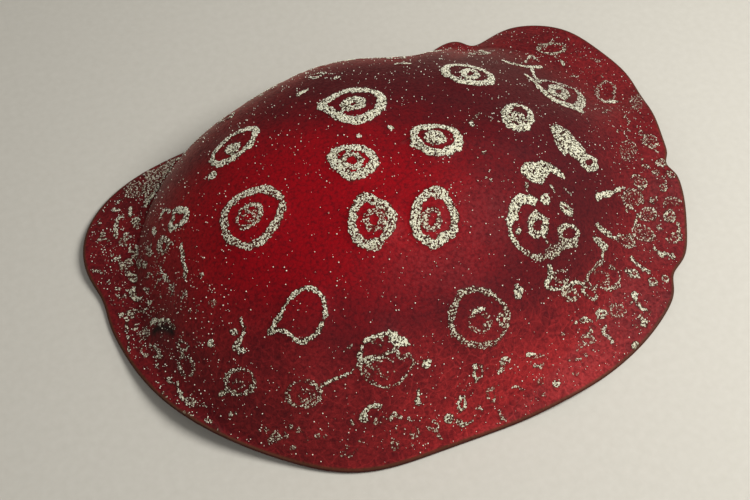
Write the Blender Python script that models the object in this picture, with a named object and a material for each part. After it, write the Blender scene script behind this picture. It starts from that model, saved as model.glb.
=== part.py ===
"""Pleurobranchus weberi, a large sidegill sea slug at rest, life size, in metres, +Z up.

+X points to the head, +Y to the animal's left. The mantle is a domed back with a thin free skirt
that lies on the floor all round and lifts in a low arch over the head. Under it are the body, the
foot, the head with its oral veil and rolled rhinophores, and the plume of the gill on the right.
"""

import math
import random

import bpy
import bmesh
from mathutils import Matrix, Vector

# Driving dimensions. Bearings are in degrees, 0 at the head and positive to the animal's left.
GAP = 0.0003
SEAM = 0.0004
ROW_SHIFT = Vector((-0.0009, 0.0038, 0.0))

# Outline of the mantle's rim, seen from above
HALF_LENGTH = 0.097
HALF_WIDTH_LEFT = 0.0605
HALF_WIDTH_RIGHT = 0.0786
SQUARENESS = 2.25
BROAD_LOBE = 8

# Lobes of the rim, each a bearing, a width and how far it reaches out
RIM_LOBES = {
    "front left lobe": (39, 19, 0.0279),
    "front lobe": (18, 9.3, 0.0074),
    "front middle": (-8, 10, -0.003),
    "front notch": (-8.4, 2.1, -0.0021),
    "left notch": (49.7, 3.5, -0.0055),
    "left lobe": (57.4, 5.4, 0.005),
    "left side": (93, 22, 0.0085),
    "rear left lobe": (157, 19.5, 0.0111),
    "rear lobe": (177, 4.7, -0.0018),
    "front right notch": (-32.6, 4.1, -0.0029),
    "rear right lobe": (-118, 14, 0.0034),
}

# Hump of the back
HUMP_CENTRE = Vector((-0.0052, -0.0126))
HUMP_TURN = 24
HUMP_FRONT = 0.1017
HUMP_REAR = 0.0845
HUMP_LEFT = 0.0831
HUMP_RIGHT = 0.0635
HUMP_HEIGHT = 0.045
HUMP_FULLNESS = 2.2
FRONT_POWER = 1.1
REAR_POWER = 0.75
LEFT_POWER = 0.50
RIGHT_POWER = 1.1
RIM_TUCK = 12
FILLET = 0.009
RIM_FILLET = 0.0006
FILLET_FADE = 4

# Free skirt of the mantle
RIM_THICKNESS = 0.0013
ROOT_THICKNESS = 0.0036
STEEPEST_CUT = 2.2
SKIRT_RISE = 0.0105
SKIRT_CURVE = 1.5
SKIRT_TAPER = 0.7
ROOT_FRONT = 0.68
ROOT_REAR = 0.80
ROOT_LEFT = 0.90
ROOT_RIGHT = 0.76
ARCH_BEARING = -4
ARCH_HALF_WIDTH = 15
ARCH_HEIGHT = 0.010
DOME_CELLS = 32
SKIRT_ROWS = 7

# Middle bearing of each quarter of the free skirt
SKIRT_SECTORS = {
    "mantle_skirt_front": 0,
    "mantle_skirt_left": 90,
    "mantle_skirt_rear": 180,
    "mantle_skirt_right": 270,
}

# Waves of the rim, each a bearing, a width and a height
RIM_LIFTS = {
    "rear right lift": (-150, 17, 0.0045),
    "left lift": (75, 12, 0.002),
    "front right wave": (-36, 7, 0.002),
    "right wave": (-72, 9, 0.0012),
    "front left wave": (31, 8, 0.0025),
    "rear wave": (168, 9, 0.002),
}

# Notch at the rear where the water leaves
SIPHON_PLACE = Vector((-0.083, -0.008))
SIPHON_WIDTH = 0.008
SIPHON_DEPTH = 0.0035

# Low swellings of the back under the large rings, each a place and a radius
SWELLING_HEIGHT = 0.0009
SWELLINGS = {
    "far crown ring": (-0.008, 0.021, 0.010),
    "right crown ring": (0.010, -0.003, 0.007),
    "small crown ring": (-0.016, -0.002, 0.007),
    "far left ring": (-0.046, 0.024, 0.008),
    "left ring": (-0.049, -0.007, 0.011),
    "left middle ring": (-0.018, -0.024, 0.008),
    "right middle ring": (0.000, -0.028, 0.008),
    "far right ring": (0.035, 0.028, 0.010),
    "filled ring": (0.041, 0.003, 0.007),
    "open ring": (0.032, -0.033, 0.013),
    "near ring": (0.004, -0.054, 0.010),
    "pointed ring": (-0.045, -0.041, 0.008),
    "streaked ring": (-0.027, -0.058, 0.008),
    "small near ring": (-0.051, -0.057, 0.006),
}

# Body and foot under the mantle
BODY_CENTRE = Vector((-0.006, -0.001))
BODY_FRONT = 0.054
BODY_REAR = 0.057
BODY_LEFT = 0.047
BODY_RIGHT = 0.039
BODY_TOP = 0.020
BODY_SIDES = 48
CLEAR_OF_MANTLE = 0.0010
FOOT_THICKNESS = 0.004
FOOT_EDGE = 0.0014
FOOT_CENTRE = Vector((-0.006, 0.000))
FOOT_FRONT = 0.075
FOOT_REAR = 0.070
FOOT_LEFT = 0.052
FOOT_RIGHT = 0.052
FOOT_TAPER = 0.80
FOOT_CELLS = 14

# Head, with its mouth, veil, rhinophores and eyes
MIDLINE = -0.004
HEAD_BACK = 0.043
HEAD_FACE = 0.066
HEAD_HALF_WIDTH = 0.014
HEAD_TOP = 0.0125
HEAD_ROUNDNESS = 2.6
HEAD_CELLS = (16, 12)
LIP_HALF_WIDTH = 0.0034
LIP_HALF_HEIGHT = 0.0005
LIP_RADIUS = 0.0006
LIP_LEVEL = 0.0055
LIP_CELLS = (24, 8)
VEIL_REACH = 0.0195
VEIL_ROOT_HALF_WIDTH = 0.0105
VEIL_EDGE_HALF_WIDTH = 0.0195
VEIL_ROOT_LEVEL = 0.0081
VEIL_EDGE_LEVEL = 0.0030
VEIL_ROOT_THICKNESS = 0.0012
VEIL_EDGE_THICKNESS = 0.0009
VEIL_CURL = 0.0022
VEIL_DROOP = 0.8
VEIL_EDGE_BOW = 0.10
VEIL_CELLS = (16, 8)
RHINOPHORE_LENGTH = 0.0205
RHINOPHORE_SPLAY = 0.0085
RHINOPHORE_FROM_MIDLINE = 0.0023
RHINOPHORE_LEVEL = 0.0102
RHINOPHORE_DROP = 0.0026
RHINOPHORE_ROOT_RADIUS = 0.0017
RHINOPHORE_TIP_RADIUS = 0.0016
RHINOPHORE_WALL = 0.0008
RHINOPHORE_ROLL = 305
RHINOPHORE_SPREAD = 1.3
RHINOPHORE_SAG = 1.5
RHINOPHORE_CELLS = (12, 10)
EYE_RADIUS = 0.0008
EYE_FROM_MIDLINE = 0.0062
EYE_FROM_FACE = 0.0025
EYE_SUNK = 0.0005

# Gill and papillae on the right side of the body
GILL_FRONT = 0.026
GILL_REAR = -0.042
GILL_LEVEL = 0.0115
GILL_FROM_WALL = 0.0036
GILL_TIP_FROM_WALL = 0.0052
RACHIS_SIDES = 8
RACHIS_ROOT_RADIUS = 0.0014
RACHIS_TIP_RADIUS = 0.0007
MEMBRANE_THICKNESS = 0.0010
MEMBRANE_START = 0.01
MEMBRANE_END = 0.68
MEMBRANE_CLEAR = 0.0002
MEMBRANE_CELLS = (2, 16)
PINNAE = 19
FIRST_PINNA = 0.05
LAST_PINNA = 0.95
PINNA_LENGTH = 0.0088
PINNA_DEPTH = 0.0013
PINNA_THICKNESS = 0.0010
PINNA_SLANT = 38
PINNA_SWEEP = 16
PINNA_BEND = 0.5
PINNA_TAPER = 0.75
GENITAL_PAPILLA_X = 0.034
ANAL_PAPILLA_X = -0.047
PAPILLA_RADIUS = 0.0016
PAPILLA_TIP_RADIUS = 0.00088
PAPILLA_SIDES = 12
PAPILLA_LENGTH = 0.0032
PAPILLA_LEVEL = 0.0110


def lobe(bearing, place, width, size):
    """A smooth swelling of that size and width, centred on that bearing."""
    away = (bearing - place + 180) % 360 - 180
    return size * math.exp(-((away / width) ** 2))


def quarter_oval(x, y, front, rear, left, right, power=2.0):
    """How far out (x, y) lies in an oval of four unlike quarters: 1 on its outline."""
    along = front if x > 0 else rear
    across = left if y > 0 else right
    return (abs(x / along) ** power + abs(y / across) ** power) ** (1 / power)


def rim_reach(bearing, narrowest=0):
    """Distance from the middle to the mantle's rim, with the lobes of at least that width."""
    c, s = math.cos(math.radians(bearing)), math.sin(math.radians(bearing))
    widths = (HALF_WIDTH_LEFT, HALF_WIDTH_RIGHT)
    base = 1 / quarter_oval(c, s, HALF_LENGTH, HALF_LENGTH, *widths, SQUARENESS)
    return base + sum(lobe(bearing, *size) for size in RIM_LOBES.values() if size[1] >= narrowest)


def arch(bearing):
    """Share of the head arch's height at a bearing: flat on top, gone at its sides."""
    away = (bearing - ARCH_BEARING + 180) % 360 - 180
    return math.exp(-((away / ARCH_HALF_WIDTH) ** 4))


def hump(x, y):
    """Height of the domed back alone."""
    turned = Matrix.Rotation(math.radians(-HUMP_TURN), 2) @ (Vector((x, y)) - HUMP_CENTRE)
    out = quarter_oval(*turned, HUMP_FRONT, HUMP_REAR, HUMP_LEFT, HUMP_RIGHT)
    endways = turned.x**2 / max(turned.length_squared, 1e-12)
    power = endways * (FRONT_POWER if turned.x > 0 else REAR_POWER)
    power += (1 - endways) * (LEFT_POWER if turned.y > 0 else RIGHT_POWER)
    return HUMP_HEIGHT * max(0.0, 1 - out**HUMP_FULLNESS) ** power


def swelling(x, y):
    """Height that the swellings under the large rings add to the back."""
    return sum(
        SWELLING_HEIGHT * math.exp(-(math.hypot(x - along, y - across) / radius) ** 4)
        for along, across, radius in SWELLINGS.values()
    )


def back(x, y):
    """Height of the mantle's upper surface: the hump, faired into the skirt."""
    bearing = math.degrees(math.atan2(y, x))
    share = min(1.0, math.hypot(x, y) / rim_reach(bearing))
    lift = sum(lobe(bearing, *size) for size in RIM_LIFTS.values()) * share**4
    skirt = RIM_THICKNESS + SKIRT_RISE * (1 - share**SKIRT_CURVE) + ARCH_HEIGHT * arch(bearing) + lift
    dome = hump(x, y) * math.sqrt(1 - share**RIM_TUCK)
    fillet = RIM_FILLET + FILLET * (1 - share**FILLET_FADE)
    high = max(dome, skirt)
    faired = high + fillet * math.log(math.exp((dome - high) / fillet) + math.exp((skirt - high) / fillet))
    dent = (Vector((x, y)) - SIPHON_PLACE).length / SIPHON_WIDTH
    return faired - SIPHON_DEPTH * math.exp(-(dent**2)) + swelling(x, y)


def steepness(x, y, step=0.0005):
    """How much longer an upright cut through the mantle is than its thickness there."""
    slope_x = (back(x + step, y) - back(x - step, y)) / (2 * step)
    slope_y = (back(x, y + step) - back(x, y - step)) / (2 * step)
    return min(STEEPEST_CUT, math.sqrt(1 + slope_x**2 + slope_y**2))


def root_reach(bearing):
    """Distance from the middle at which the free skirt leaves the domed back."""
    c, s = math.cos(math.radians(bearing)), math.sin(math.radians(bearing))
    along = ROOT_FRONT if c > 0 else ROOT_REAR
    across = ROOT_LEFT if s > 0 else ROOT_RIGHT
    return (c * c * along + s * s * across) * rim_reach(bearing, BROAD_LOBE)


def mantle_point(bearing, reach, under):
    """A point of the mantle's upper surface, or of its underside at the skirt's thickness there."""
    x = reach * math.cos(math.radians(bearing))
    y = reach * math.sin(math.radians(bearing))
    z = back(x, y)
    if under:
        root = root_reach(bearing)
        outward = min(1.0, max(0.0, (reach - root) / (rim_reach(bearing) - root)))
        thickness = ROOT_THICKNESS + (RIM_THICKNESS - ROOT_THICKNESS) * outward**SKIRT_TAPER
        z = max(0.0, z - thickness * steepness(x, y))
    return Vector((x, y, z))


def material(name, colour, roughness):
    made = bpy.data.materials.new(name)
    made.use_nodes = True
    shader = made.node_tree.nodes["Principled BSDF"]
    shader.inputs["Base Color"].default_value = (*colour, 1)
    shader.inputs["Roughness"].default_value = roughness
    return made


def clear_scene():
    for old in list(bpy.data.objects):
        bpy.data.objects.remove(old, do_unlink=True)


def place(name, mesh_maker, finish, owner):
    """Turns a bmesh into a named object of the slug."""
    mesh = bpy.data.meshes.new(name)
    bmesh.ops.recalc_face_normals(mesh_maker, faces=mesh_maker.faces)
    mesh_maker.to_mesh(mesh)
    mesh_maker.free()
    mesh.shade_smooth()
    mesh.materials.append(finish)
    made = bpy.data.objects.new(name, mesh)
    bpy.data.collections["pleurobranchus"].objects.link(made)
    made.parent = owner
    return made


def moulded_slab(columns, rows, point):
    """A grid pressed onto point(u, v, False), and its extruded copy pressed onto point(u, v, True)."""
    maker = bmesh.new()
    bmesh.ops.create_grid(maker, x_segments=columns, y_segments=rows, size=0.5)
    bmesh.ops.triangulate(maker, faces=maker.faces[:])
    over = list(maker.verts)
    grown = bmesh.ops.extrude_face_region(maker, geom=maker.faces[:], use_keep_orig=True)
    below = [v for v in grown["geom"] if isinstance(v, bmesh.types.BMVert)]
    for vert in over:
        vert.co = point(vert.co.x + 0.5, vert.co.y + 0.5, False)
    for vert in below:
        vert.co = point(vert.co.x + 0.5, vert.co.y + 0.5, True)
    bmesh.ops.triangulate(maker, faces=maker.faces[:], quad_method="SHORT_EDGE")
    return maker


def disc(u, v):
    """Bearing and share of the radius for a square grid's (u, v), so that the grid fills a disc evenly."""
    a, b = 2 * u - 1, 2 * v - 1
    x = a * math.sqrt(max(0.0, 1 - b * b / 2))
    y = b * math.sqrt(max(0.0, 1 - a * a / 2))
    return math.degrees(math.atan2(y, x)), min(1.0, math.hypot(x, y))


def back_dome(finish, owner):
    """The domed back, solid down to the level where the body's wall meets it."""

    def point(u, v, under):
        bearing, out = disc(u, v)
        reach = out * (root_reach(bearing) - SEAM / 2)
        made = mantle_point(bearing, reach, under)
        if under:
            made.z = min(made.z, BODY_TOP)
        return made

    maker = moulded_slab(DOME_CELLS, DOME_CELLS, point)
    return place("mantle_back", maker, finish, owner)


def skirt_sector(name, middle, finish, owner):
    """A quarter of the free skirt, whose columns meet those of the domed back."""
    inset = math.degrees(SEAM / 2 / root_reach(middle + 45))

    def point(u, v, under):
        away = math.degrees(math.asin((2 * u - 1) / math.sqrt(2)))
        bearing = middle + away * (1 - inset / 45)
        inner = root_reach(bearing) + SEAM / 2
        return mantle_point(bearing, inner + v * (rim_reach(bearing) - inner), under)

    maker = moulded_slab(DOME_CELLS, SKIRT_ROWS, point)
    return place(name, maker, finish, owner)


def under_mantle(x, y):
    """Highest level that a piece under the mantle may reach at (x, y)."""
    bearing = math.degrees(math.atan2(y, x))
    reach = math.hypot(x, y)
    low = mantle_point(bearing, reach, True).z
    if reach < root_reach(bearing):
        low = min(low, BODY_TOP)
    return low - CLEAR_OF_MANTLE


def wall_distance(x):
    """Sideways distance from the middle of the body to its right wall at x."""
    along = BODY_FRONT if x > BODY_CENTRE.x else BODY_REAR
    return BODY_RIGHT * math.sqrt(max(0.0, 1 - ((x - BODY_CENTRE.x) / along) ** 2))


def wall(x):
    """y of the right wall of the body at x."""
    return BODY_CENTRE.y - wall_distance(x)


def body(finish, owner):
    """The upright wall of the body between the foot and the mantle, flat where the head meets it."""
    maker = bmesh.new()
    bmesh.ops.create_cone(
        maker,
        cap_ends=True,
        cap_tris=True,
        segments=BODY_SIDES,
        radius1=1,
        radius2=1,
        depth=1,
    )
    for vert in maker.verts:
        along = BODY_FRONT if vert.co.x > 0 else BODY_REAR
        across = BODY_LEFT if vert.co.y > 0 else BODY_RIGHT
        x = min(HEAD_BACK - GAP, BODY_CENTRE.x + along * vert.co.x)
        y = BODY_CENTRE.y + across * vert.co.y
        low = FOOT_THICKNESS + GAP
        high = min(BODY_TOP - GAP, under_mantle(x, y))
        vert.co = (x, y, high if vert.co.z > 0 else low)
    return place("body", maker, finish, owner)


def foot(finish, owner):
    """The broad crawling foot, flat below and thin at its edge."""

    def point(u, v, under):
        bearing, out = disc(u, v)
        c, s = math.cos(math.radians(bearing)), math.sin(math.radians(bearing))
        reach = out / quarter_oval(c, s, FOOT_FRONT, FOOT_REAR, FOOT_LEFT, FOOT_RIGHT)
        x, y = FOOT_CENTRE.x + reach * c, FOOT_CENTRE.y + reach * s
        if under:
            return Vector((x, y, 0.0))
        thin = max(0.0, (out - FOOT_TAPER) / (1 - FOOT_TAPER))
        z = FOOT_THICKNESS + (FOOT_EDGE - FOOT_THICKNESS) * thin**1.5
        return Vector((x, y, min(z, under_mantle(x, y))))

    maker = moulded_slab(FOOT_CELLS, FOOT_CELLS, point)
    return place("foot", maker, finish, owner)


def eye_place(side):
    """Centre of an eye, half sunk in the upper side of the head beside the rhinophore."""
    x = HEAD_FACE - EYE_FROM_FACE
    y = MIDLINE + side * EYE_FROM_MIDLINE
    return Vector((x, y, head_top(x, y) - EYE_SUNK))


def head_top(x, y):
    """Height of the upper side of the head, a low oval hump tucked under the mantle."""
    across = min(1.0, abs(y - MIDLINE) / HEAD_HALF_WIDTH)
    low = FOOT_THICKNESS + GAP
    oval = low + (HEAD_TOP - low) * math.sqrt(1 - across**HEAD_ROUNDNESS)
    return min(oval, under_mantle(x, y))


def head(finish, owner):
    """The blunt head, flat behind where it meets the body and in front where the veil grows."""

    def point(u, v, under):
        x = HEAD_BACK + (HEAD_FACE - HEAD_BACK) * v
        y = MIDLINE + HEAD_HALF_WIDTH * math.sin(math.radians(90) * (2 * u - 1))
        low = FOOT_THICKNESS + GAP
        return Vector((x, y, low if under else max(low + FOOT_EDGE, head_top(x, y))))

    maker = moulded_slab(*HEAD_CELLS, point)
    made = place("head", maker, finish, owner)
    for side in (1, -1):
        socket_maker = bmesh.new()
        bmesh.ops.create_icosphere(socket_maker, subdivisions=2, radius=EYE_RADIUS + GAP)
        bmesh.ops.translate(socket_maker, verts=socket_maker.verts, vec=eye_place(side))
        socket = place("eye_socket", socket_maker, finish, owner)
        fuse(made, [socket], "DIFFERENCE")
    return made


def fuse(made, others, operation):
    """Joins or cuts an object with others for good, removes them, and keeps its largest closed surface."""
    tools = bpy.data.collections.new("tools")
    for other in others:
        tools.objects.link(other)
    boolean = made.modifiers.new(operation.lower(), "BOOLEAN")
    boolean.operation = operation
    boolean.operand_type = "COLLECTION"
    boolean.collection = tools
    bpy.context.view_layer.update()
    graph = bpy.context.evaluated_depsgraph_get()
    joined = bpy.data.meshes.new_from_object(made.evaluated_get(graph))
    made.modifiers.clear()
    made.data = joined
    for other in others:
        bpy.data.objects.remove(other, do_unlink=True)
    bpy.data.collections.remove(tools)
    keep_largest(joined)


def keep_largest(mesh):
    """Removes every closed surface of a mesh but the one with the most volume."""
    maker = bmesh.new()
    maker.from_mesh(mesh)
    left = set(maker.verts)
    shells = []
    while left:
        shell = {left.pop()}
        edge_of_search = list(shell)
        while edge_of_search:
            for link in edge_of_search.pop().link_edges:
                for vert in link.verts:
                    if vert in left:
                        left.remove(vert)
                        shell.add(vert)
                        edge_of_search.append(vert)
        shells.append(shell)

    def bulk(shell):
        faces = {face for vert in shell for face in vert.link_faces}
        return abs(sum(face.calc_center_median().dot(face.normal) * face.calc_area() for face in faces))

    shells.sort(key=bulk)
    for shell in shells[:-1]:
        bmesh.ops.delete(maker, geom=list(shell), context="VERTS")
    maker.to_mesh(mesh)
    maker.free()


def eyes(finish, owner):
    for name, side in (("eye_left", 1), ("eye_right", -1)):
        maker = bmesh.new()
        bmesh.ops.create_icosphere(maker, subdivisions=2, radius=EYE_RADIUS)
        bmesh.ops.translate(maker, verts=maker.verts, vec=eye_place(side))
        place(name, maker, finish, owner)


def mouth(finish, owner):
    """The lips, a flattened ring on the face between the veil and the foot."""
    maker = bmesh.new()
    bmesh.ops.create_grid(maker, x_segments=LIP_CELLS[0], y_segments=LIP_CELLS[1], size=0.5)
    for vert in maker.verts:
        around = 2 * math.pi * (vert.co.x + 0.5)
        tube = 2 * math.pi * (vert.co.y + 0.5)
        out = LIP_RADIUS * math.cos(tube)
        vert.co = (
            HEAD_FACE + GAP + LIP_RADIUS * (1 + math.sin(tube)),
            MIDLINE + (LIP_HALF_WIDTH + out) * math.cos(around),
            LIP_LEVEL + (LIP_HALF_HEIGHT + out) * math.sin(around),
        )
    bmesh.ops.remove_doubles(maker, verts=maker.verts, dist=0.00001)
    return place("mouth", maker, finish, owner)


def oral_veil(finish, owner):
    """The flat flap over the mouth, wider at its free edge, with its corners rolled."""

    def point(u, v, under):
        across = 2 * u - 1
        half = VEIL_ROOT_HALF_WIDTH + (VEIL_EDGE_HALF_WIDTH - VEIL_ROOT_HALF_WIDTH) * v
        thickness = VEIL_ROOT_THICKNESS + (VEIL_EDGE_THICKNESS - VEIL_ROOT_THICKNESS) * v
        x = HEAD_FACE + GAP + VEIL_REACH * v * (1 - VEIL_EDGE_BOW * across**2)
        y = MIDLINE + half * across
        z = VEIL_ROOT_LEVEL + (VEIL_EDGE_LEVEL - VEIL_ROOT_LEVEL) * v**VEIL_DROOP
        z += VEIL_CURL * v * across**6
        return Vector((x, y, z - (thickness if under else 0.0)))

    maker = moulded_slab(*VEIL_CELLS, point)
    return place("oral_veil", maker, finish, owner)


def rhinophore(name, side, finish, owner):
    """A tapering sheet rolled into a tube, with its slit on the outer side."""

    def point(u, v, inside):
        radius = RHINOPHORE_ROOT_RADIUS + (RHINOPHORE_TIP_RADIUS - RHINOPHORE_ROOT_RADIUS) * v
        radius -= RHINOPHORE_WALL if inside else 0.0
        turn = math.radians(180 + RHINOPHORE_ROLL * (u - 0.5)) * side - math.radians(90 - side * 90)
        x = HEAD_FACE + GAP + RHINOPHORE_LENGTH * v
        splay = RHINOPHORE_FROM_MIDLINE + RHINOPHORE_SPLAY * v**RHINOPHORE_SPREAD
        y = MIDLINE + side * splay - radius * math.cos(turn)
        z = RHINOPHORE_LEVEL - RHINOPHORE_DROP * v**RHINOPHORE_SAG + radius * math.sin(turn)
        return Vector((x, y, z))

    maker = moulded_slab(*RHINOPHORE_CELLS, point)
    return place(name, maker, finish, owner)


def rachis_point(t):
    """Centre of the gill's stem, from its root in front to its free tip behind."""
    x = GILL_FRONT + (GILL_REAR - GILL_FRONT) * t
    out = GILL_FROM_WALL + (GILL_TIP_FROM_WALL - GILL_FROM_WALL) * t**3
    return Vector((x, wall(x) - out, GILL_LEVEL))


def rachis_radius(t):
    return RACHIS_ROOT_RADIUS + (RACHIS_TIP_RADIUS - RACHIS_ROOT_RADIUS) * t


def gill_stem(finish, owner):
    """The tapering stem of the gill, which follows the wall of the body."""
    maker = bmesh.new()
    bmesh.ops.create_cone(
        maker,
        cap_ends=True,
        cap_tris=True,
        segments=RACHIS_SIDES,
        radius1=1,
        radius2=1,
        depth=1,
    )
    along = [edge for edge in maker.edges if abs(edge.verts[0].co.z - edge.verts[1].co.z) > 0.5]
    bmesh.ops.subdivide_edges(maker, edges=along, cuts=PINNAE)
    for vert in maker.verts:
        t = vert.co.z + 0.5
        vert.co = rachis_point(t) + rachis_radius(t) * Vector((0, vert.co.x, vert.co.y))
    return place("gill", maker, finish, owner)


def gill_membrane(finish, owner):
    """The web that joins the front of the stem to the wall of the body."""

    def point(u, v, under):
        stem = rachis_point(MEMBRANE_START + (MEMBRANE_END - MEMBRANE_START) * v)
        inner = wall(stem.x) - GAP - MEMBRANE_CLEAR
        y = inner + (stem.y - inner) * u
        return Vector((stem.x, y, GILL_LEVEL + MEMBRANE_THICKNESS * (-0.5 if under else 0.5)))

    maker = moulded_slab(*MEMBRANE_CELLS, point)
    return place("gill_membrane", maker, finish, owner)


def pinna(t, side, finish, owner):
    """One feather of the gill, a tapering blade that leaves the stem outwards, up or down."""
    root = rachis_point(t)
    size = PINNA_LENGTH * (0.45 + 0.55 * math.sin(math.radians(25 + 130 * t)))
    size *= 1 + 0.08 * random.uniform(-1, 1)
    slant = math.radians(PINNA_SLANT + 5 * random.uniform(-1, 1))
    sweep = math.radians(PINNA_SWEEP + 4 * random.uniform(-1, 1))
    maker = bmesh.new()
    bmesh.ops.create_cube(maker, size=1)
    long_edges = [edge for edge in maker.edges if abs(edge.verts[0].co.x - edge.verts[1].co.x) > 0.5]
    bmesh.ops.subdivide_edges(maker, edges=long_edges, cuts=2)
    for vert in maker.verts:
        out = vert.co.x + 0.5
        taper = 1 - PINNA_TAPER * out**1.5
        bend = side * (slant + PINNA_BEND * out)
        reach = size * out
        vert.co = root + Vector((
            -reach * math.sin(sweep) + PINNA_THICKNESS * taper * vert.co.y,
            -reach * math.cos(sweep) * math.cos(bend) + PINNA_DEPTH * taper * vert.co.z * math.sin(bend),
            reach * math.cos(sweep) * math.sin(bend) + PINNA_DEPTH * taper * vert.co.z * math.cos(bend),
        ))
    return place("pinna", maker, finish, owner)


def gill(finish, owner):
    """The plume of the gill: stem, web and two rows of feathers, joined into one piece."""
    made = gill_stem(finish, owner)
    pieces = [gill_membrane(finish, owner)]
    for index in range(PINNAE):
        t = FIRST_PINNA + (LAST_PINNA - FIRST_PINNA) * index / (PINNAE - 1)
        for side in (1, -1):
            pieces.append(pinna(t, side, finish, owner))
    fuse(made, pieces, "UNION")


def papilla(name, x, finish, owner):
    """A short blunt cone on the right wall of the body."""
    slope = Vector((x - BODY_CENTRE.x, 0))
    along = BODY_FRONT if x > BODY_CENTRE.x else BODY_REAR
    outward = Vector((slope.x / along**2, (wall(x) - BODY_CENTRE.y) / BODY_RIGHT**2, 0)).normalized()
    maker = bmesh.new()
    bmesh.ops.create_cone(
        maker,
        cap_ends=True,
        cap_tris=True,
        segments=PAPILLA_SIDES,
        radius1=PAPILLA_RADIUS,
        radius2=PAPILLA_TIP_RADIUS,
        depth=PAPILLA_LENGTH,
    )
    turn = outward.to_track_quat("Z", "Y").to_matrix().to_4x4()
    middle = Vector((x, wall(x), PAPILLA_LEVEL)) + outward * (GAP + PAPILLA_LENGTH / 2)
    bmesh.ops.transform(maker, verts=maker.verts, matrix=Matrix.Translation(middle) @ turn)
    return place(name, maker, finish, owner)


def main():
    clear_scene()
    random.seed(7)
    group = bpy.data.collections.new("pleurobranchus")
    bpy.context.scene.collection.children.link(group)
    slug = bpy.data.objects.new("slug", None)
    slug.location = ROW_SHIFT
    group.objects.link(slug)
    mantle_skin = material("mantle_skin", (0.24, 0.01, 0.016), 0.5)
    underside_skin = material("underside_skin", (0.40, 0.06, 0.05), 0.45)
    gill_skin = material("gill_skin", (0.55, 0.22, 0.16), 0.4)
    eye_black = material("eye_black", (0.01, 0.008, 0.01), 0.2)
    back_dome(mantle_skin, slug)
    for name, middle in SKIRT_SECTORS.items():
        skirt_sector(name, middle, mantle_skin, slug)
    body(underside_skin, slug)
    foot(underside_skin, slug)
    head(underside_skin, slug)
    mouth(underside_skin, slug)
    oral_veil(underside_skin, slug)
    rhinophore("rhinophore_left", 1, underside_skin, slug)
    rhinophore("rhinophore_right", -1, underside_skin, slug)
    eyes(eye_black, slug)
    gill(gill_skin, slug)
    papilla("genital_papilla", GENITAL_PAPILLA_X, underside_skin, slug)
    papilla("anal_papilla", ANAL_PAPILLA_X, underside_skin, slug)


main()
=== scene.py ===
"""Finish of a life-size, resting Pleurobranchus weberi, in metres, +X to the head, +Z up.

One skin covers the mantle, body, foot, head, veil and rhinophores. Cream granules stand on it in
rings and specks, the gill is a plume of branched feathers, and the eyes keep their solids.
"""

import math

import bmesh
import bpy
import numpy as np
from mathutils import Matrix, Vector


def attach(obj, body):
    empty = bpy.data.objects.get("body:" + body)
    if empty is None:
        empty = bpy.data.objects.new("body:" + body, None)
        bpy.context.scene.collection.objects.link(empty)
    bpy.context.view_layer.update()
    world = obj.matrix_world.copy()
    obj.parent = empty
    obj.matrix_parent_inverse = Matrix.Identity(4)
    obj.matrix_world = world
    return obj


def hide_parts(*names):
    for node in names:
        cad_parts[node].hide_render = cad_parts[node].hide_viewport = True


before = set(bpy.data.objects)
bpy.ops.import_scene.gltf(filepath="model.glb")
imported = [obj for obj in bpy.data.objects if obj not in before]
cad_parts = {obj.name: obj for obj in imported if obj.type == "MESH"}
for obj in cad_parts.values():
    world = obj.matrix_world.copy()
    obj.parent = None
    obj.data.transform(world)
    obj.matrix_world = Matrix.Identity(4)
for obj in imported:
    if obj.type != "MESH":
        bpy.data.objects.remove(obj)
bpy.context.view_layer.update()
MM = 0.001

# Camera and studio
LENS = 50.0
SENSOR = 36.0
PHOTO_WIDTH = 750
PHOTO_HEIGHT = 500
VIEW_TARGET = Vector((-0.0113, -0.0021, 0.0))
VIEW_FROM = Vector((-0.0756, -0.1787, 0.2893))
LIGHT_TARGET = Vector((0, 0, 0.02))
LIGHTS = {
    "key_light": ((0.29, -0.13, 0.45), 0.30, 2.8, (1.0, 0.98, 0.94)),
    "fill_light": ((-0.30, -0.55, 0.45), 0.5, 0.45, (0.98, 0.98, 1.0)),
}
SKY_COLOUR = (1.0, 0.97, 0.92, 1)
SKY_STRENGTH = 0.22
FLOOR_SIZE = 2.0
FLOOR_GRAIN = (400, 3.0)
FLOOR_COLOURS = ((0.60, 0.58, 0.52, 1), (0.68, 0.66, 0.60, 1))
FLOOR_ROUGHNESS = 0.9

# Mantle, with the sizes of the solids. Bearings are in degrees, 0 at the head
ROW_SHIFT = np.array((-0.0009, 0.0038, 0.0))
HALF_LENGTH = 0.097
HALF_WIDTH_LEFT = 0.0605
HALF_WIDTH_RIGHT = 0.0786
SQUARENESS = 2.25
BROAD_LOBE = 8
RIM_LOBES = {
    "front left lobe": (39, 19, 0.0279),
    "front lobe": (18, 9.3, 0.0074),
    "front middle": (-8, 10, -0.003),
    "front notch": (-8.4, 2.1, -0.0021),
    "left notch": (49.7, 3.5, -0.0055),
    "left lobe": (57.4, 5.4, 0.005),
    "left side": (93, 22, 0.0085),
    "rear left lobe": (157, 19.5, 0.0111),
    "rear lobe": (177, 4.7, -0.0018),
    "front right notch": (-32.6, 4.1, -0.0029),
    "rear right lobe": (-118, 14, 0.0034),
}
HUMP_CENTRE = (-0.0052, -0.0126)
HUMP_TURN = 24
HUMP_HALVES = (0.1017, 0.0845, 0.0831, 0.0635)
HUMP_HEIGHT = 0.045
HUMP_FULLNESS = 2.2
FRONT_POWER = 1.1
REAR_POWER = 0.75
LEFT_POWER = 0.50
RIGHT_POWER = 1.1
RIM_TUCK = 12
FILLET = 0.009
RIM_FILLET = 0.0006
FILLET_FADE = 4
RIM_THICKNESS = 0.0013
ROOT_THICKNESS = 0.0036
STEEPEST_CUT = 2.2
SKIRT_RISE = 0.0105
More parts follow.
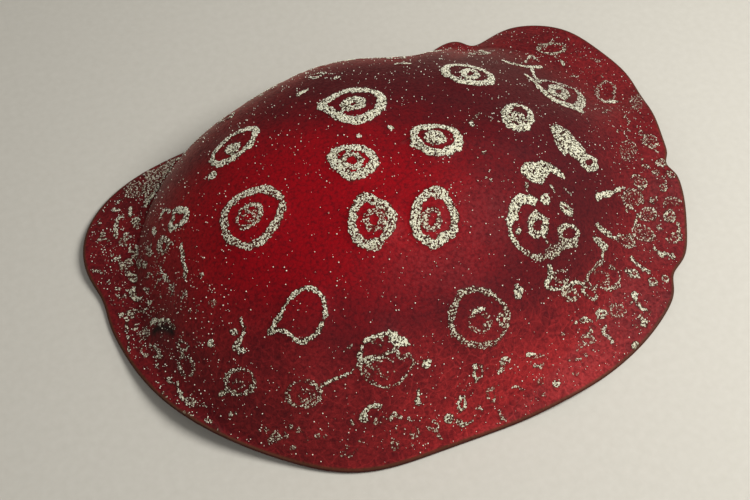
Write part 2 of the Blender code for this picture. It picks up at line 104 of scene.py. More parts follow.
SKIRT_CURVE = 1.5
SKIRT_TAPER = 0.7
ROOT_FRONT = 0.68
ROOT_REAR = 0.80
ROOT_LEFT = 0.90
ROOT_RIGHT = 0.76
ARCH_BEARING = -4
ARCH_HALF_WIDTH = 15
ARCH_HEIGHT = 0.010
ARCH_FLATNESS = 4
LIFT_CURVE = 4
RIM_LIFTS = {
    "rear right lift": (-150, 17, 0.0045),
    "left lift": (75, 12, 0.002),
    "front right wave": (-36, 7, 0.002),
    "right wave": (-72, 9, 0.0012),
    "front left wave": (31, 8, 0.0025),
    "rear wave": (168, 9, 0.002),
}
SIPHON_PLACE = (-0.083, -0.008)
SIPHON_WIDTH = 0.008
SIPHON_DEPTH = 0.0035
SWELLING_HEIGHT = 0.0009
SWELLING_FLATNESS = 4
SWELLINGS = {
    "far crown ring": (-0.008, 0.021, 0.010),
    "right crown ring": (0.010, -0.003, 0.007),
    "small crown ring": (-0.016, -0.002, 0.007),
    "far left ring": (-0.046, 0.024, 0.008),
    "left ring": (-0.049, -0.007, 0.011),
    "left middle ring": (-0.018, -0.024, 0.008),
    "right middle ring": (0.000, -0.028, 0.008),
    "far right ring": (0.035, 0.028, 0.010),
    "filled ring": (0.041, 0.003, 0.007),
    "open ring": (0.032, -0.033, 0.013),
    "near ring": (0.004, -0.054, 0.010),
    "pointed ring": (-0.045, -0.041, 0.008),
    "streaked ring": (-0.027, -0.058, 0.008),
    "small near ring": (-0.051, -0.057, 0.006),
}
RELIEF = 0.00030
RIM_BULGE = 0.0004
UPPER_CELLS = 272
UNDER_CELLS = 68
RIM_ROWS = 3
SHARP_ANGLE = 50

# Body, foot and head under the mantle, with the sizes of the solids. Halves of an oval are its
# front, rear, left and right
BODY_CELLS = (40, 40)
FOOT_CELLS = (30, 30)
HEAD_CELLS = (36, 24)
LIP_CELLS = (40, 12)
VEIL_CELLS = (36, 20)
RHINOPHORE_CELLS = (24, 20)
EMBED = 0.0015
MERGE = 1e-6
CLEARANCE = 0.001
BODY_CENTRE = (-0.006, -0.001)
BODY_FRONT = 0.054
BODY_REAR = 0.057
BODY_LEFT = 0.047
BODY_RIGHT = 0.039
BODY_TOP = 0.020
FOOT_THICKNESS = 0.004
FOOT_EDGE = 0.0014
FOOT_CENTRE = (-0.006, 0.000)
FOOT_HALVES = (0.075, 0.070, 0.052, 0.052)
FOOT_TAPER = 0.80
FOOT_CURVE = 1.5
MIDLINE = -0.004
HEAD_BACK = 0.043
HEAD_FACE = 0.066
HEAD_HALF_WIDTH = 0.014
HEAD_TOP = 0.0125
HEAD_ROUNDNESS = 2.6
HEAD_EDGE = 0.3
HEAD_SINK = 0.0003
LIP_HALF_WIDTH = 0.0034
LIP_HALF_HEIGHT = 0.0005
LIP_RADIUS = 0.0006
LIP_LEVEL = 0.0055
LIP_BULGE = 0.6
LIP_SINK = 0.4
VEIL_REACH = 0.0195
VEIL_ROOT_HALF_WIDTH = 0.0105
VEIL_EDGE_HALF_WIDTH = 0.0195
VEIL_ROOT_LEVEL = 0.0081
VEIL_EDGE_LEVEL = 0.0030
VEIL_ROOT_THICKNESS = 0.0012
VEIL_EDGE_THICKNESS = 0.0009
VEIL_CURL = 0.0022
VEIL_CURL_CURVE = 6
VEIL_DROOP = 0.8
VEIL_EDGE_BOW = 0.10
RHINOPHORE_LENGTH = 0.0205
RHINOPHORE_SPLAY = 0.0085
RHINOPHORE_FROM_MIDLINE = 0.0023
RHINOPHORE_LEVEL = 0.0102
RHINOPHORE_DROP = 0.0026
RHINOPHORE_ROOT_RADIUS = 0.0017
RHINOPHORE_TIP_RADIUS = 0.0016
RHINOPHORE_WALL = 0.0008
RHINOPHORE_ROLL = 305
RHINOPHORE_SPREAD = 1.3
RHINOPHORE_SAG = 1.5
PAPILLA_PLACES = (0.034, -0.047)
PAPILLA_RADIUS = 0.0016
PAPILLA_TIP_RADIUS = 0.00088
PAPILLA_LENGTH = 0.0032
PAPILLA_LEVEL = 0.0110
PAPILLA_SIDES = 20

# Gill. A leaflet's and a vane's sizes are shares of the feather's length
GILL_FRONT = 0.026
GILL_REAR = -0.042
GILL_LEVEL = 0.0115
GILL_FROM_WALL = 0.0036
GILL_TIP_FROM_WALL = 0.0052
GILL_CURVE = 3
GILL_STEPS = 40
GILL_SEED = 11
RACHIS_ROOT_RADIUS = 0.0014
RACHIS_TIP_RADIUS = 0.0007
RACHIS_SIDES = 12
FEATHER_PAIRS = 34
FEATHER_LENGTH = 0.0088
FEATHER_SIZES = (0.88, 1.10)
FEATHER_WAVE = (2.27, 0.436)
FEATHER_REACH = (0.55, 0.45)
FEATHER_SWING = 0.12
FEATHER_SWAY = 0.8
FEATHER_LEAN = math.radians(90 + 16)
FEATHER_TILT = math.radians(34)
VANE_RADII = (0.060, 0.016)
LEAFLETS = 9
LEAFLET_RADII = (0.030, 0.012)
LEAFLET_LENGTH = 0.20
LEAFLET_PLACES = (0.10, 0.84)
LEAFLET_TAPER = 0.6
LEAFLET_AHEAD = 0.55
LEAFLET_LIFT = 0.12

# Marks. Depths are in millimetres, inwards from a band's edge
MARK_REACH = 2.0
DEEPEST = 1.0
RELIEF_EDGE = (-0.5, 0.5)
BROKEN_ARC = (1.6, 5.0)
BROKEN_POINTS = 7
BROKEN_SQUASH = (0.5, 1.0)
RAGGEDNESS = 1.8
WAVINESS = 2.0
SPARSE_DEPTH = 0.35
BARE = 0.452
SPARSE_BARE = 0.20
BARE_PATCH = 0.42
GRANULE_SPACING = 0.00045
GRANULE_RADII = (0.00013, 0.00025)
GRANULE_SIZES = (0.45, 0.6)
GRANULE_SEED = 4
GRANULES_FROM = -0.8
DIVIDE = 0.0
SPECK_SPACING = 0.0007
SPECK_RADII = (0.00008, 0.00024)
SPECK_RARITY = 2.5
SPECKS_ON_BACK = 0.050
SPECKS_AT_REAR = 0.10
SPECKS_AT_EDGE = 0.04
SPECK_EDGE = (0.70, 0.92)
STREWN_BOX = (0.115, 0.095)
STREWN_TO = 0.99
JITTER = 0.28

# Tones of the mantle. A pair of sizes is where a tone begins and where it is full
UPPER_DEPTH = 0.4
UPPER_REACH = 1.002
# Painted highlight on the crown, with painted shade on the flanks around it: where the highlight lies,
# its size and turn, and how it fades towards the margin
CROWN_HIGHLIGHT_PLACE = (-0.038, -0.009)
CROWN_HIGHLIGHT_LENGTH = 0.064
CROWN_HIGHLIGHT_WIDTH = 0.036
CROWN_HIGHLIGHT_TURN = -19
CROWN_HIGHLIGHT_FALL = 1.2
CROWN_HIGHLIGHT_FADE = 0.7
CROWN_HIGHLIGHT_MARGIN = (0.72, 0.92)
EDGE_MARGIN = (0.60, 0.88)
BRINK = (0.86, 0.97)
# Painted shade: the redder margin, its own tone, is dulled at the rear, the far side, the head end and
# the near side
REAR_PAINTED_SHADE = 0.6
REAR_END = (0.054, 0.082)
FAR_PAINTED_SHADE = 0.2
FAR_SIDE = (-0.075, -0.015)
HEAD_PAINTED_SHADE = 0.52
HEAD_END = (0.030, 0.066)
NEAR_PAINTED_SHADE = 0.42
NEAR_REAR = (0.004, 0.034)
NEAR_SIDE = (0.034, 0.050)
# Painted shadow in the cleft of the rear hollow: its arc in pixels and its width
HOLLOW_ARC = [154, 331.5, 158, 328.5, 163, 327.5, 168, 329, 172, 332]
HOLLOW_WIDTH = 0.0016
# Painted highlight red of the crown and painted shade maroon of the flanks
PAINTED_HIGHLIGHT_RED = (0.31, 0.002, 0.007, 1)
PAINTED_SHADE_MAROON = (0.085, 0.006, 0.009, 1)
VEIN_DARK = (0.018, 0.002, 0.005, 1)
EDGE_RED = (0.365, 0.0215, 0.0235, 1)
EDGE_LINE = (0.485, 0.035, 0.037, 1)
RIM_OLIVE = (0.07, 0.034, 0.016, 1)
RIM_DARK = (0.050, 0.008, 0.008, 1)
UNDER_ROSE = (0.42, 0.12, 0.10, 1)
MARK_CREAM = (0.82, 0.81, 0.60, 1)
MARK_DIM = (0.16, 0.13, 0.075, 1)
MARK_PIT = (0.020, 0.012, 0.008, 1)
VELVET = (0.90, 0.55, 0.42, 1)
# Painted shadow colour of the hollow's cleft
HOLLOW_PAINTED_SHADOW = (0.006, 0.003, 0.003, 1)

# Scale, detail and roughness of each pattern
MOTTLE = (90, 4.0, 0.6)
FINE = (900, 3.0, 0.6)
RAGGED = (850, 2.0)
WAVY = (240, 1.0)
CLOSENESS = (1700, 2.0)
GRAIN = (2400, 1.0)
BARE_PATCHES = (130, 2.0)
PULL_SCALE = 250.0
PULL = (0.0024, 0.0024, 0.0024)
LINE_CELLS = 290
NET_CELLS = 620

# Where each tone sets in and where it is full, then its least and greatest strength
RAMPS = {
    "crown": (0.05, 0.95),
    "edge": (0.35, 0.65, 0.45, 0.95),
    "line": (0.085, 0.0),
    "net": (0.10, 0.0, 0.0, 0.22),
    "vein": (0.42, 0.72, 0.0, 0.5),
    "pit": (-0.45, 0.05),
    "full pit": (0.3, 0.9, 0.25, 0.85),
    "band": (-0.05, 0.15),
    "close": (-0.012, 0.02),
    "full band": (0.3, 0.9, 0.45, 1.0),
    "grain": (0.36, 0.54),
    "rim": (0.9, 0.1, 0.0, 0.8),
    "below": (0.3, 0.7, 0.0, 0.5),
    "roughness": (0.3, 0.7, 0.5, 0.66),
}
CROWN_MOTTLE = 0.5
LINE_STRENGTH = 0.48
BAND_HEIGHT = 0.5
NET_HEIGHT = 0.8
FINE_HEIGHT = 0.3
SKIN_BUMP = (0.45, 0.0003)
SKIN_GLOSS = {
    "Specular IOR Level": 0.09,
    "Sheen Weight": 0.19,
    "Sheen Roughness": 0.3,
    "Sheen Tint": VELVET,
}

# Finishes of two tones: noise, its limits, both tones, both roughnesses and the bump if any
FINISHES = {
    "granule_cream": (
        (1500, 2.0), (0.33, 0.47), (0.30, 0.28, 0.17, 1), (1.0, 1.0, 0.84, 1), (0.45, 0.6), None),
    "gill_flesh": (
        (700, 3.0), (0.3, 0.7), (0.32, 0.07, 0.05, 1), (0.66, 0.30, 0.20, 1), (0.25, 0.4), (0.3, 0.0002)),
    "eye_shine": (
        (3000, 2.0), (0.4, 0.8), (0.004, 0.003, 0.004, 1), (0.03, 0.012, 0.012, 1), (0.08, 0.16), None),
}
FINISH_ROUGHNESS = (0.3, 0.7)

# Rings drawn through points: half width of the band in millimetres, how full of granules it
# is, and the middle of the band in the photograph's pixels, x and y in turn
LOOPS = {
    "far crown ring": (1.45, 0.95, [323, 104, 336, 96, 351, 90.5, 368, 90.5, 379, 95, 382, 102, 379, 110,
        370, 116, 358, 120, 345, 119, 333, 113, 326, 109]),
    "right crown ring": (1.35, 0.95, [413.5, 136, 416, 129.5, 426, 127.5, 440, 127, 451, 129.5, 457, 136,
        457.5, 144, 451, 150, 443, 153, 432, 152, 422, 147, 415, 141]),
    "small crown ring": (1.35, 0.9, [331, 156.5, 337, 151, 346, 148, 356, 147.5, 366, 150, 372.5, 155.5,
        374, 162, 371, 168, 363, 172, 355, 176, 348, 175.5, 340, 169, 335, 163]),
    "left middle ring": (1.4, 0.8, [366, 195, 376, 202, 388, 208, 392, 219, 389, 229, 383, 238, 373, 245,
        361, 244, 353.5, 233, 352, 221, 355, 209, 360, 200]),
    "right middle ring": (1.35, 0.85, [431.5, 190, 441.5, 192.5, 448, 201, 453, 211.5, 454.5, 223,
        452, 233, 443, 238, 436, 245, 429, 242, 419, 235.5, 415.5, 226.5, 415.5, 215, 416.5, 206,
        422.5, 197.5]),
    "left ring": (1.3, 0.76, [223.5, 218.5, 231, 204, 247.5, 193, 266, 189.5, 280.5, 197.5, 280.5, 214,
        273, 227, 264, 239, 250, 246.5, 237, 244, 227, 235]),
    "near ring": (0.95, 0.62, [457, 300, 462, 293, 472, 290, 486, 292, 500, 301, 508, 313, 506, 329,
        497, 341, 483, 345, 468, 344, 457, 336, 452, 324, 452, 310]),
    "pointed ring": (0.65, 0.85, [271, 331, 283, 311, 293, 295, 308, 288, 320, 294, 325, 308, 322, 324,
        311, 338, 300, 342, 289, 335, 278, 330]),
    "streaked ring": (0.6, 0.85, [361, 361, 361, 350, 366, 342, 374, 337, 385, 334, 394, 334, 397, 342,
        396, 347, 389, 354, 376, 358]),
    "streaked ring, lower": (0.6, 0.6, [361, 361, 363, 376, 373, 383, 389, 388, 403, 380, 410, 369,
        414, 361, 407, 356, 399, 359, 396, 348, 380, 357]),
    "arc ring": (0.6, 0.6, [601, 262, 592, 271, 587, 277, 589, 284.5, 597, 287, 607, 289.5, 617, 286,
        620, 278, 616, 271, 610, 266]),
    "hooked mark": (0.95, 0.85, [174, 212, 180, 210, 186, 211, 186.5, 216, 183.5, 222, 177, 227, 171, 229,
        170, 225, 173, 219]),
}

# Rings that are ovals, by region: middle, half width and half height in pixels, tilt in
# degrees, half width of the band in millimetres, and how full of granules it is
OVALS = {
    "crown": [
        (354, 104, 8.5, 4.6, -8, 1.4, 0.85), (435, 137.5, 7.5, 4.0, 12, 1.25, 0.8),
        (352, 161, 8.8, 6.2, 0, 1.0, 0.8), (374, 220, 8.0, 9.0, 0, 0.95, 0.62),
        (432, 220, 7.5, 10.5, 10, 1.0, 0.65), (234, 146.5, 26.5, 9.5, -38, 1.05, 0.9),
        (233, 148.5, 5, 2.6, -36, 1.1, 0.85), (249, 216, 13.5, 9, -46, 0.7, 0.66),
        (249, 217, 6, 4.5, -40, 0.8, 0.5), (468, 74.5, 24, 8, 11, 1.35, 0.95),
        (470, 74, 7, 3.6, 8, 1.2, 0.85), (212, 176, 2.8, 2, -40, 0.8, 0.9),
    ],
    "front": [
        (518, 117, 13, 11.3, 25, 1.3, 0.85), (518, 117, 4.5, 3.5, 20, 1.0, 0.75),
        (558.5, 92, 7.5, 4.2, 25, 1.7, 0.72), (574, 149, 5, 5, 0, 1.5, 0.85),
        (589, 163, 7, 6, 30, 1.0, 0.8), (538, 225, 8, 9.5, 0, 1.25, 0.75),
        (569, 234, 9, 8, 0, 0.95, 0.68), (545.3, 199.3, 3, 3.6, 0, 0.5, 0.95),
        (518.5, 232.5, 2, 2.5, 0, 0.8, 0.8), (565.7, 209, 7, 3, 42, 0.75, 0.75),
        (551.5, 49, 13, 5, -4, 0.85, 0.6), (606, 92, 9, 10, 10, 0.75, 0.45),
        (518.4, 292, 3, 4.5, 0, 0.8, 0.8), (570, 294, 8, 5, 25, 0.7, 0.6),
        (589.5, 293.5, 8.5, 4, 42, 0.65, 0.65), (561, 277, 6, 5.5, 0, 0.6, 0.5),
        (602, 278, 8, 5, 20, 0.6, 0.45),
    ],
    "head margin": [
        (632, 198.5, 9, 8.5, 0, 0.63, 0.6), (647.5, 215, 7.5, 6, 0, 0.63, 0.6),
        (670, 216.5, 4.5, 4.5, 0, 0.63, 0.7), (642.5, 233.5, 10, 7, 28, 0.56, 0.6),
        (625.5, 241.5, 8.5, 4.5, 25, 0.56, 0.65), (673, 238.5, 6, 4.5, -20, 0.56, 0.65),
        (650, 141, 7, 5.5, 40, 0.56, 0.6), (639, 181.5, 8, 4.5, 30, 0.53, 0.65),
        (661, 163, 4, 3, 20, 0.56, 0.65), (628, 151, 8, 10, 10, 0.49, 0.45),
        (654, 199.5, 3, 2.5, 0, 0.56, 0.75), (663, 188, 3.5, 3, 30, 0.56, 0.7),
        (673, 202, 8, 3.5, 10, 0.46, 0.55), (640, 158, 3, 2.5, 20, 0.49, 0.7),
        (645.5, 167, 2.5, 2, 0, 0.49, 0.7), (671, 174.5, 4, 2, 20, 0.49, 0.65),
        (656, 172, 3, 2, 0, 0.49, 0.6), (633.5, 274, 4, 3, 30, 0.56, 0.7),
        (652.5, 281, 3.5, 2.5, 20, 0.49, 0.7), (665, 279, 3, 2, 20, 0.49, 0.65),
        (637, 103, 5, 8, 0, 0.49, 0.4), (618, 311, 7, 5.5, 20, 0.46, 0.5),
    ],
    "near margin": [
        (480, 323, 11, 9, 10, 0.68, 0.45), (487, 326, 3, 3, 0, 0.64, 0.6),
        (501, 319.5, 4, 4.5, 0, 0.52, 0.65), (386, 368, 8.5, 9.5, 0, 0.52, 0.45),
        (369, 371, 4.5, 4.5, 0, 0.44, 0.55), (406, 359.5, 5, 4, 0, 0.48, 0.5),
        (378, 342, 5, 3.5, 0, 0.44, 0.6), (304, 394, 17, 13, -5, 0.72, 0.58),
        (306, 396, 7, 5, 0, 0.64, 0.45), (427.3, 364.4, 2, 2, 0, 0.64, 0.9),
        (417.3, 402, 1.6, 1.8, 0, 0.64, 0.95), (381, 420.5, 6, 3, 0, 0.44, 0.5),
        (400, 430, 4.5, 4.5, 0, 0.52, 0.6), (408, 421, 2.5, 2.5, 0, 0.48, 0.6),
        (414.5, 432.5, 4, 5, 0, 0.48, 0.55), (395, 445, 3, 4.5, 0, 0.44, 0.55),
        (433.5, 427, 5, 5, 0, 0.48, 0.55), (449.5, 418.5, 3, 2, -30, 0.72, 0.8),
        (462, 404, 3, 6.5, 5, 0.68, 0.75), (478, 372.5, 4, 7, 10, 0.56, 0.65),
        (491, 395, 3.5, 6, -15, 0.48, 0.6), (505, 361.5, 3.5, 2.5, 0, 0.52, 0.7),
        (539, 361, 9, 4.5, -15, 0.48, 0.45), (600.5, 314.5, 3.5, 4, -30, 0.6, 0.75),
        (587.5, 340, 6, 4, 0, 0.52, 0.55), (635, 345.5, 1.8, 2.2, 0, 0.64, 0.8),
        (556.5, 384.5, 1.6, 1.4, 0, 0.56, 0.8), (644.5, 323, 1.2, 1.8, 0, 0.48, 0.8),
        (275, 438, 5, 2, -10, 0.72, 0.6),
    ],
    "left skirt": [
        (240, 382, 14, 12.5, 0, 0.76, 0.62), (238, 384, 5, 4, 0, 0.64, 0.45),
        (183, 346, 5, 5, 0, 0.64, 0.6), (186.5, 366, 7, 9.5, -20, 0.64, 0.55),
        (163.5, 245, 5, 6.5, 0, 0.88, 0.65), (160.5, 261, 4, 4.5, 0, 0.64, 0.4),
        (149.4, 252, 2.5, 2, 0, 0.64, 0.6), (134, 248.5, 4, 3.5, 20, 0.72, 0.7),
        (123, 242, 3, 3.5, 0, 0.56, 0.5), (154.5, 231.3, 1.5, 1.8, 0, 0.72, 0.95),
        (136, 221, 1.6, 1.6, 0, 0.64, 0.7), (139.5, 263.5, 2.5, 2.5, 0, 0.64, 0.6),
        (145, 264.5, 1.5, 1.5, 0, 0.64, 0.7), (159.6, 276.5, 3.5, 4, 0, 0.56, 0.6),
        (165, 277.8, 1.4, 1.4, 0, 0.72, 0.9), (171, 291, 2.2, 4.5, 0, 0.48, 0.65),
        (134, 278, 2.5, 2.5, 0, 0.72, 0.7), (145, 335, 4, 4, 0, 0.64, 0.5),
        (150, 302.5, 1.6, 1.6, 0, 0.64, 0.8), (191, 402.5, 4, 2.5, 20, 0.64, 0.6),
        (210.5, 342.5, 1.4, 1.4, 0, 0.64, 0.9), (241, 351, 2.5, 1.2, 0, 0.64, 0.85),
        (234, 332, 2.5, 1, 0, 0.48, 0.8), (213, 303, 3, 3, 0, 0.48, 0.45),
        (146, 351, 6, 4, 20, 0.56, 0.45),
    ],
}

# How full of granules the rings of the head's margin are inside
HEAD_FILLING = 0.24

# Lines, by region: half width in millimetres at both ends, how full, and pixels
LINES = {
    "crown": [
        (0.6, 0.4, 1.0, [344, 109, 340, 114, 334, 117]), (0.8, 0.8, 0.85, [398, 64, 409, 64]),
        (0.7, 0.7, 0.9, [299, 94, 305, 91]), (0.8, 0.8, 0.95, [335.5, 78.3, 339, 77.5]),
        (0.8, 0.8, 0.8, [480, 51, 488, 53]), (0.4, 0.4, 0.5, [470, 122, 479, 114, 488, 117, 499, 122]),
        (0.4, 0.4, 0.7, [482, 153, 487, 153.5, 491.5, 157]), (0.3, 0.3, 0.6, [486, 178, 491, 181]),
        (0.8, 0.8, 1.0, [471.5, 124, 473, 126]), (0.6, 0.6, 1.0, [390.5, 127.5, 392, 128.5]),
        (0.5, 0.5, 1.0, [358.5, 135, 360, 136.5]),
    ],
    "front": [
        (1.6, 1.9, 0.9, [532, 200, 521, 200, 515.5, 207, 512.5, 217]),
        (1.3, 0.5, 0.85, [512, 217, 509.5, 228, 514, 240, 523, 251]),
        (0.6, 1.3, 0.62, [523, 251, 532, 257, 543, 258, 552, 256, 557, 251]),
        (1.2, 0.7, 0.68, [556, 251, 563, 246, 573, 244, 577, 241]), (0.7, 0.4, 0.9, [543, 235, 547, 242]),
        (0.4, 0.4, 0.9, [502, 217, 506.5, 220.5]), (1.15, 0.5, 1.0, [597, 197, 608, 194, 624, 188]),
        (1.0, 0.9, 0.75, [597, 225.5, 603, 230, 610, 236]),
        (0.7, 1.2, 0.8, [594, 238, 600, 243, 606, 247.5]),
        (0.7, 0.45, 0.85, [605, 246, 603, 252, 602, 262]), (0.3, 0.3, 0.8, [610, 236, 616, 239]),
        (0.8, 0.4, 0.85, [549, 266, 550.5, 276, 546, 283, 549, 288, 558, 289.5, 566, 287, 575, 283,
            583, 284]),
        (0.35, 0.35, 0.8, [567.5, 270, 567.5, 282]),
        (0.8, 2.1, 0.82, [526, 75.5, 534, 82, 542, 90, 551, 98, 565, 104.5, 577, 109]),
        (1.9, 1.2, 0.7, [575, 109, 581, 104, 581.5, 97.5, 577, 92]),
        (1.0, 0.9, 0.55, [534, 81, 541, 80.5, 551, 82, 560, 84.5, 571, 88, 578, 92]),
        (0.7, 1.0, 0.85, [504, 61, 514, 64, 526, 67, 540, 67]),
        (0.7, 0.5, 0.9, [532, 68, 533, 74, 539, 82]), (0.6, 0.5, 0.7, [525, 63, 531, 56, 538, 62]),
        (0.5, 1.0, 0.85, [595, 95, 605, 102, 616, 102]),
        (0.35, 0.35, 0.45, [573, 59, 580, 57.5, 588, 60]), (0.6, 0.6, 0.7, [527, 184, 526.5, 191]),
        (0.35, 0.3, 0.75, [551, 186, 555, 194]), (0.35, 0.3, 0.7, [564, 188, 571, 195]),
        (0.5, 0.5, 0.7, [561, 61, 564, 65]),
    ],
    "head margin": [
        (0.55, 0.5, 0.7, [631, 208, 637, 214, 635, 226]),
        (0.8, 0.7, 0.75, [632, 259, 639, 265.5, 648.5, 272.5]), (0.7, 0.9, 0.75, [654, 249, 662, 255]),
        (0.7, 1.0, 0.75, [626, 270, 633, 275]),
        (0.9, 0.25, 0.9, [635, 294, 635.5, 302, 641, 308, 649, 311]),
        (0.6, 0.7, 0.75, [664, 253, 673, 257]), (0.5, 0.4, 0.7, [678, 225, 681, 240]),
        (0.6, 0.9, 0.7, [605, 327, 603.5, 334, 612, 341]),
    ],
    "near margin": [
        (0.5, 0.5, 1.0, [362, 360, 376, 358, 389, 354, 396, 347]),
        (0.45, 0.45, 0.75, [325, 384, 333, 380.5, 344, 376, 351.5, 372, 357, 366]),
        (0.6, 0.6, 1.0, [473.5, 312.5, 484, 309.5]), (0.4, 0.4, 0.6, [345, 350, 351.5, 346]),
        (0.3, 0.6, 0.95, [419, 389, 418.5, 396, 417.3, 401]),
        (1.0, 0.7, 0.75, [364, 419, 365.5, 412, 372, 407, 380, 406]),
        (0.6, 0.6, 0.6, [390, 421, 394, 414, 401, 418]), (0.5, 0.5, 0.6, [406, 446, 413, 446]),
        (0.5, 0.5, 0.6, [351, 420, 352, 424]),
        (0.7, 0.4, 0.75, [458, 421, 465, 425, 472, 420.5, 473.5, 416]),
        (0.9, 0.5, 0.9, [475.5, 366, 474, 374, 476, 381]), (0.5, 0.4, 0.6, [488, 390, 499, 385]),
        (0.6, 0.6, 0.7, [500, 371, 503, 369]), (0.8, 0.5, 0.85, [528, 356, 533, 355]),
        (0.6, 0.5, 0.85, [534, 366, 541, 366]), (0.5, 0.5, 0.6, [512, 389, 517, 387, 523, 390]),
        (0.5, 0.5, 0.65, [499.5, 411, 501, 419]), (0.6, 0.6, 0.6, [479, 408, 483, 411]),
        (0.35, 0.9, 0.7, [573, 324.5, 578, 321, 584, 319.5]),
        (0.8, 0.35, 0.7, [584, 319.5, 590, 321, 595, 323]),
        (0.5, 0.5, 0.65, [589, 325, 591, 332, 586, 336]), (0.5, 0.5, 0.6, [575, 361, 581, 359]),
        (0.4, 0.4, 0.6, [437, 434, 441, 439]),
    ],
    "left skirt": [
        (0.6, 0.6, 0.8, [160, 221, 162, 213, 167, 210, 170, 213]),
        (0.7, 0.9, 0.75, [181, 246, 182.5, 254, 183, 262]),
        (0.8, 0.6, 0.75, [183, 262, 185.5, 270, 185, 278]),
        (0.7, 0.8, 0.7, [124, 217, 119, 218, 116, 227, 116.5, 237]),
        (0.9, 0.6, 0.8, [113, 210.5, 120.5, 210.3]), (0.7, 0.7, 0.85, [130, 209, 130, 216]),
        (0.6, 0.6, 0.8, [118, 203, 120, 200]), (0.5, 0.5, 0.55, [101, 220, 101, 230]),
        (0.5, 0.5, 0.7, [134, 250, 138, 255]), (0.6, 0.5, 0.8, [113, 261, 119, 257]),
        (0.6, 0.9, 0.6, [118, 260, 124, 268.5, 128.5, 274, 135, 279.5]),
        (0.5, 0.5, 0.55, [93, 270.5, 99, 272, 105.5, 274]),
        (0.6, 0.5, 0.85, [134, 288, 131.5, 293, 131.5, 298, 141, 299]),
        (0.5, 0.5, 0.65, [132, 312, 140, 311, 147, 309.5]),
        (0.6, 0.5, 0.95, [152, 322, 160, 320, 169, 321]), (0.6, 0.6, 0.7, [142, 335, 146, 329]),
        (0.5, 0.5, 0.6, [170, 324, 175, 329]), (0.5, 0.5, 0.75, [126, 319, 127.6, 336, 129.5, 353]),
        (0.5, 0.5, 0.65, [148, 346, 155, 347, 161, 356]), (0.7, 0.6, 0.7, [241, 319, 244, 332, 234, 349]),
        (0.7, 0.5, 0.8, [220, 396, 226, 391]), (0.5, 0.6, 0.65, [168, 380, 176, 384]),
        (0.6, 0.6, 0.75, [177, 383, 179, 392, 183, 399]), (0.6, 0.6, 0.7, [153, 397, 161, 400]),
        (0.7, 0.7, 0.6, [186, 400, 196, 406]), (0.5, 0.5, 0.5, [168, 407, 183, 413, 196, 417]),
        (0.6, 0.6, 0.55, [207, 419, 219, 430]),
        (0.5, 0.7, 0.95, [179, 157.5, 174, 163.5, 168, 172, 162, 181, 157, 189, 151, 198, 146.5, 205.5]),
    ],
}

# Filled marks: how full, and the edge in pixels
PATCHES = {
    "front cluster": (0.85, [520, 172, 524, 163.5, 535, 162, 548, 161.5, 556, 168, 565, 178, 557, 175,
        548, 173.5, 542.5, 184, 533.5, 184, 525, 177]),
    "chain, filling": (0.85, [563, 146, 571, 139, 580, 143, 586, 152, 582, 158, 571, 156]),
    "left middle ring, foot": (0.7, [358, 242, 372, 245, 386, 238, 391, 237, 384, 246, 372, 251,
        362, 249]),
    "right middle ring, head": (0.75, [423, 193, 431, 187, 444, 188, 449, 196, 442, 199, 431, 196]),
    "open ring, foot": (0.5, [548, 249, 556, 243, 566, 243, 557, 253, 549, 260, 540, 261]),
    "streaked ring, patch": (0.95, [389.5, 333, 397, 332, 399, 337, 405, 337.5, 409.5, 345, 401, 347.5,
        394.5, 347, 391, 341]),
    "chain, head": (0.74, [550.5, 129, 554, 125.5, 561, 127, 570, 133, 576, 141, 575, 149, 567, 156,
        562, 154, 557, 146, 553, 137]),
    "rear grey patch": (0.55, [180, 156.5, 168, 162, 161.5, 166.5, 154, 170, 145, 172, 142, 176, 146, 180,
        141.5, 188, 143.5, 194, 144.5, 198, 144, 205, 146.5, 207, 149.5, 202, 153, 196.5, 157, 190.5,
        160.5, 185, 164, 180, 168, 173.5, 172, 167.5, 176, 162]),
    "rear grey patch, outer": (0.45, [125, 188, 130, 183, 137, 181, 141, 183, 139, 191, 141, 197,
        131, 199.5, 125, 199, 124, 193]),
}

# Small broken rings too many to draw one by one: how many, the corners of the region in
# pixels, the least and greatest radius in pixels, and how full
BROKEN_RINGS = {
    "left skirt": (46, [100, 205, 150, 225, 175, 300, 150, 345, 215, 415, 170, 405, 122, 330, 85, 265],
        1.0, 3.6, 0.62),
    "rear flank": (12, [150, 215, 205, 250, 200, 320, 165, 300], 0.8, 2.6, 0.55),
    "head margin": (24, [610, 95, 640, 100, 668, 165, 680, 230, 650, 290, 622, 240, 618, 160], 1.0, 3.4,
        0.55),
    "near right margin": (30, [560, 305, 650, 300, 640, 350, 560, 405, 470, 440, 400, 455, 450, 400,
        520, 360], 0.8, 3.0, 0.5),
    "near left margin": (26, [200, 400, 260, 415, 330, 430, 400, 440, 360, 465, 270, 445, 215, 425], 0.8,
        2.8, 0.5),
    "far margin": (16, [480, 42, 540, 32, 600, 60, 640, 110, 610, 120, 560, 60], 0.8, 2.8, 0.45),
}
BROKEN_SEED = 7
BROKEN_HALF = 0.38

# Small broken rings along the far rim: how many, between which bearings, how far out to the
# rim, the least and greatest radius in millimetres, and how full
FAR_BROKEN = (44, (58, 152), (0.80, 0.97), (0.7, 2.6), 0.6)

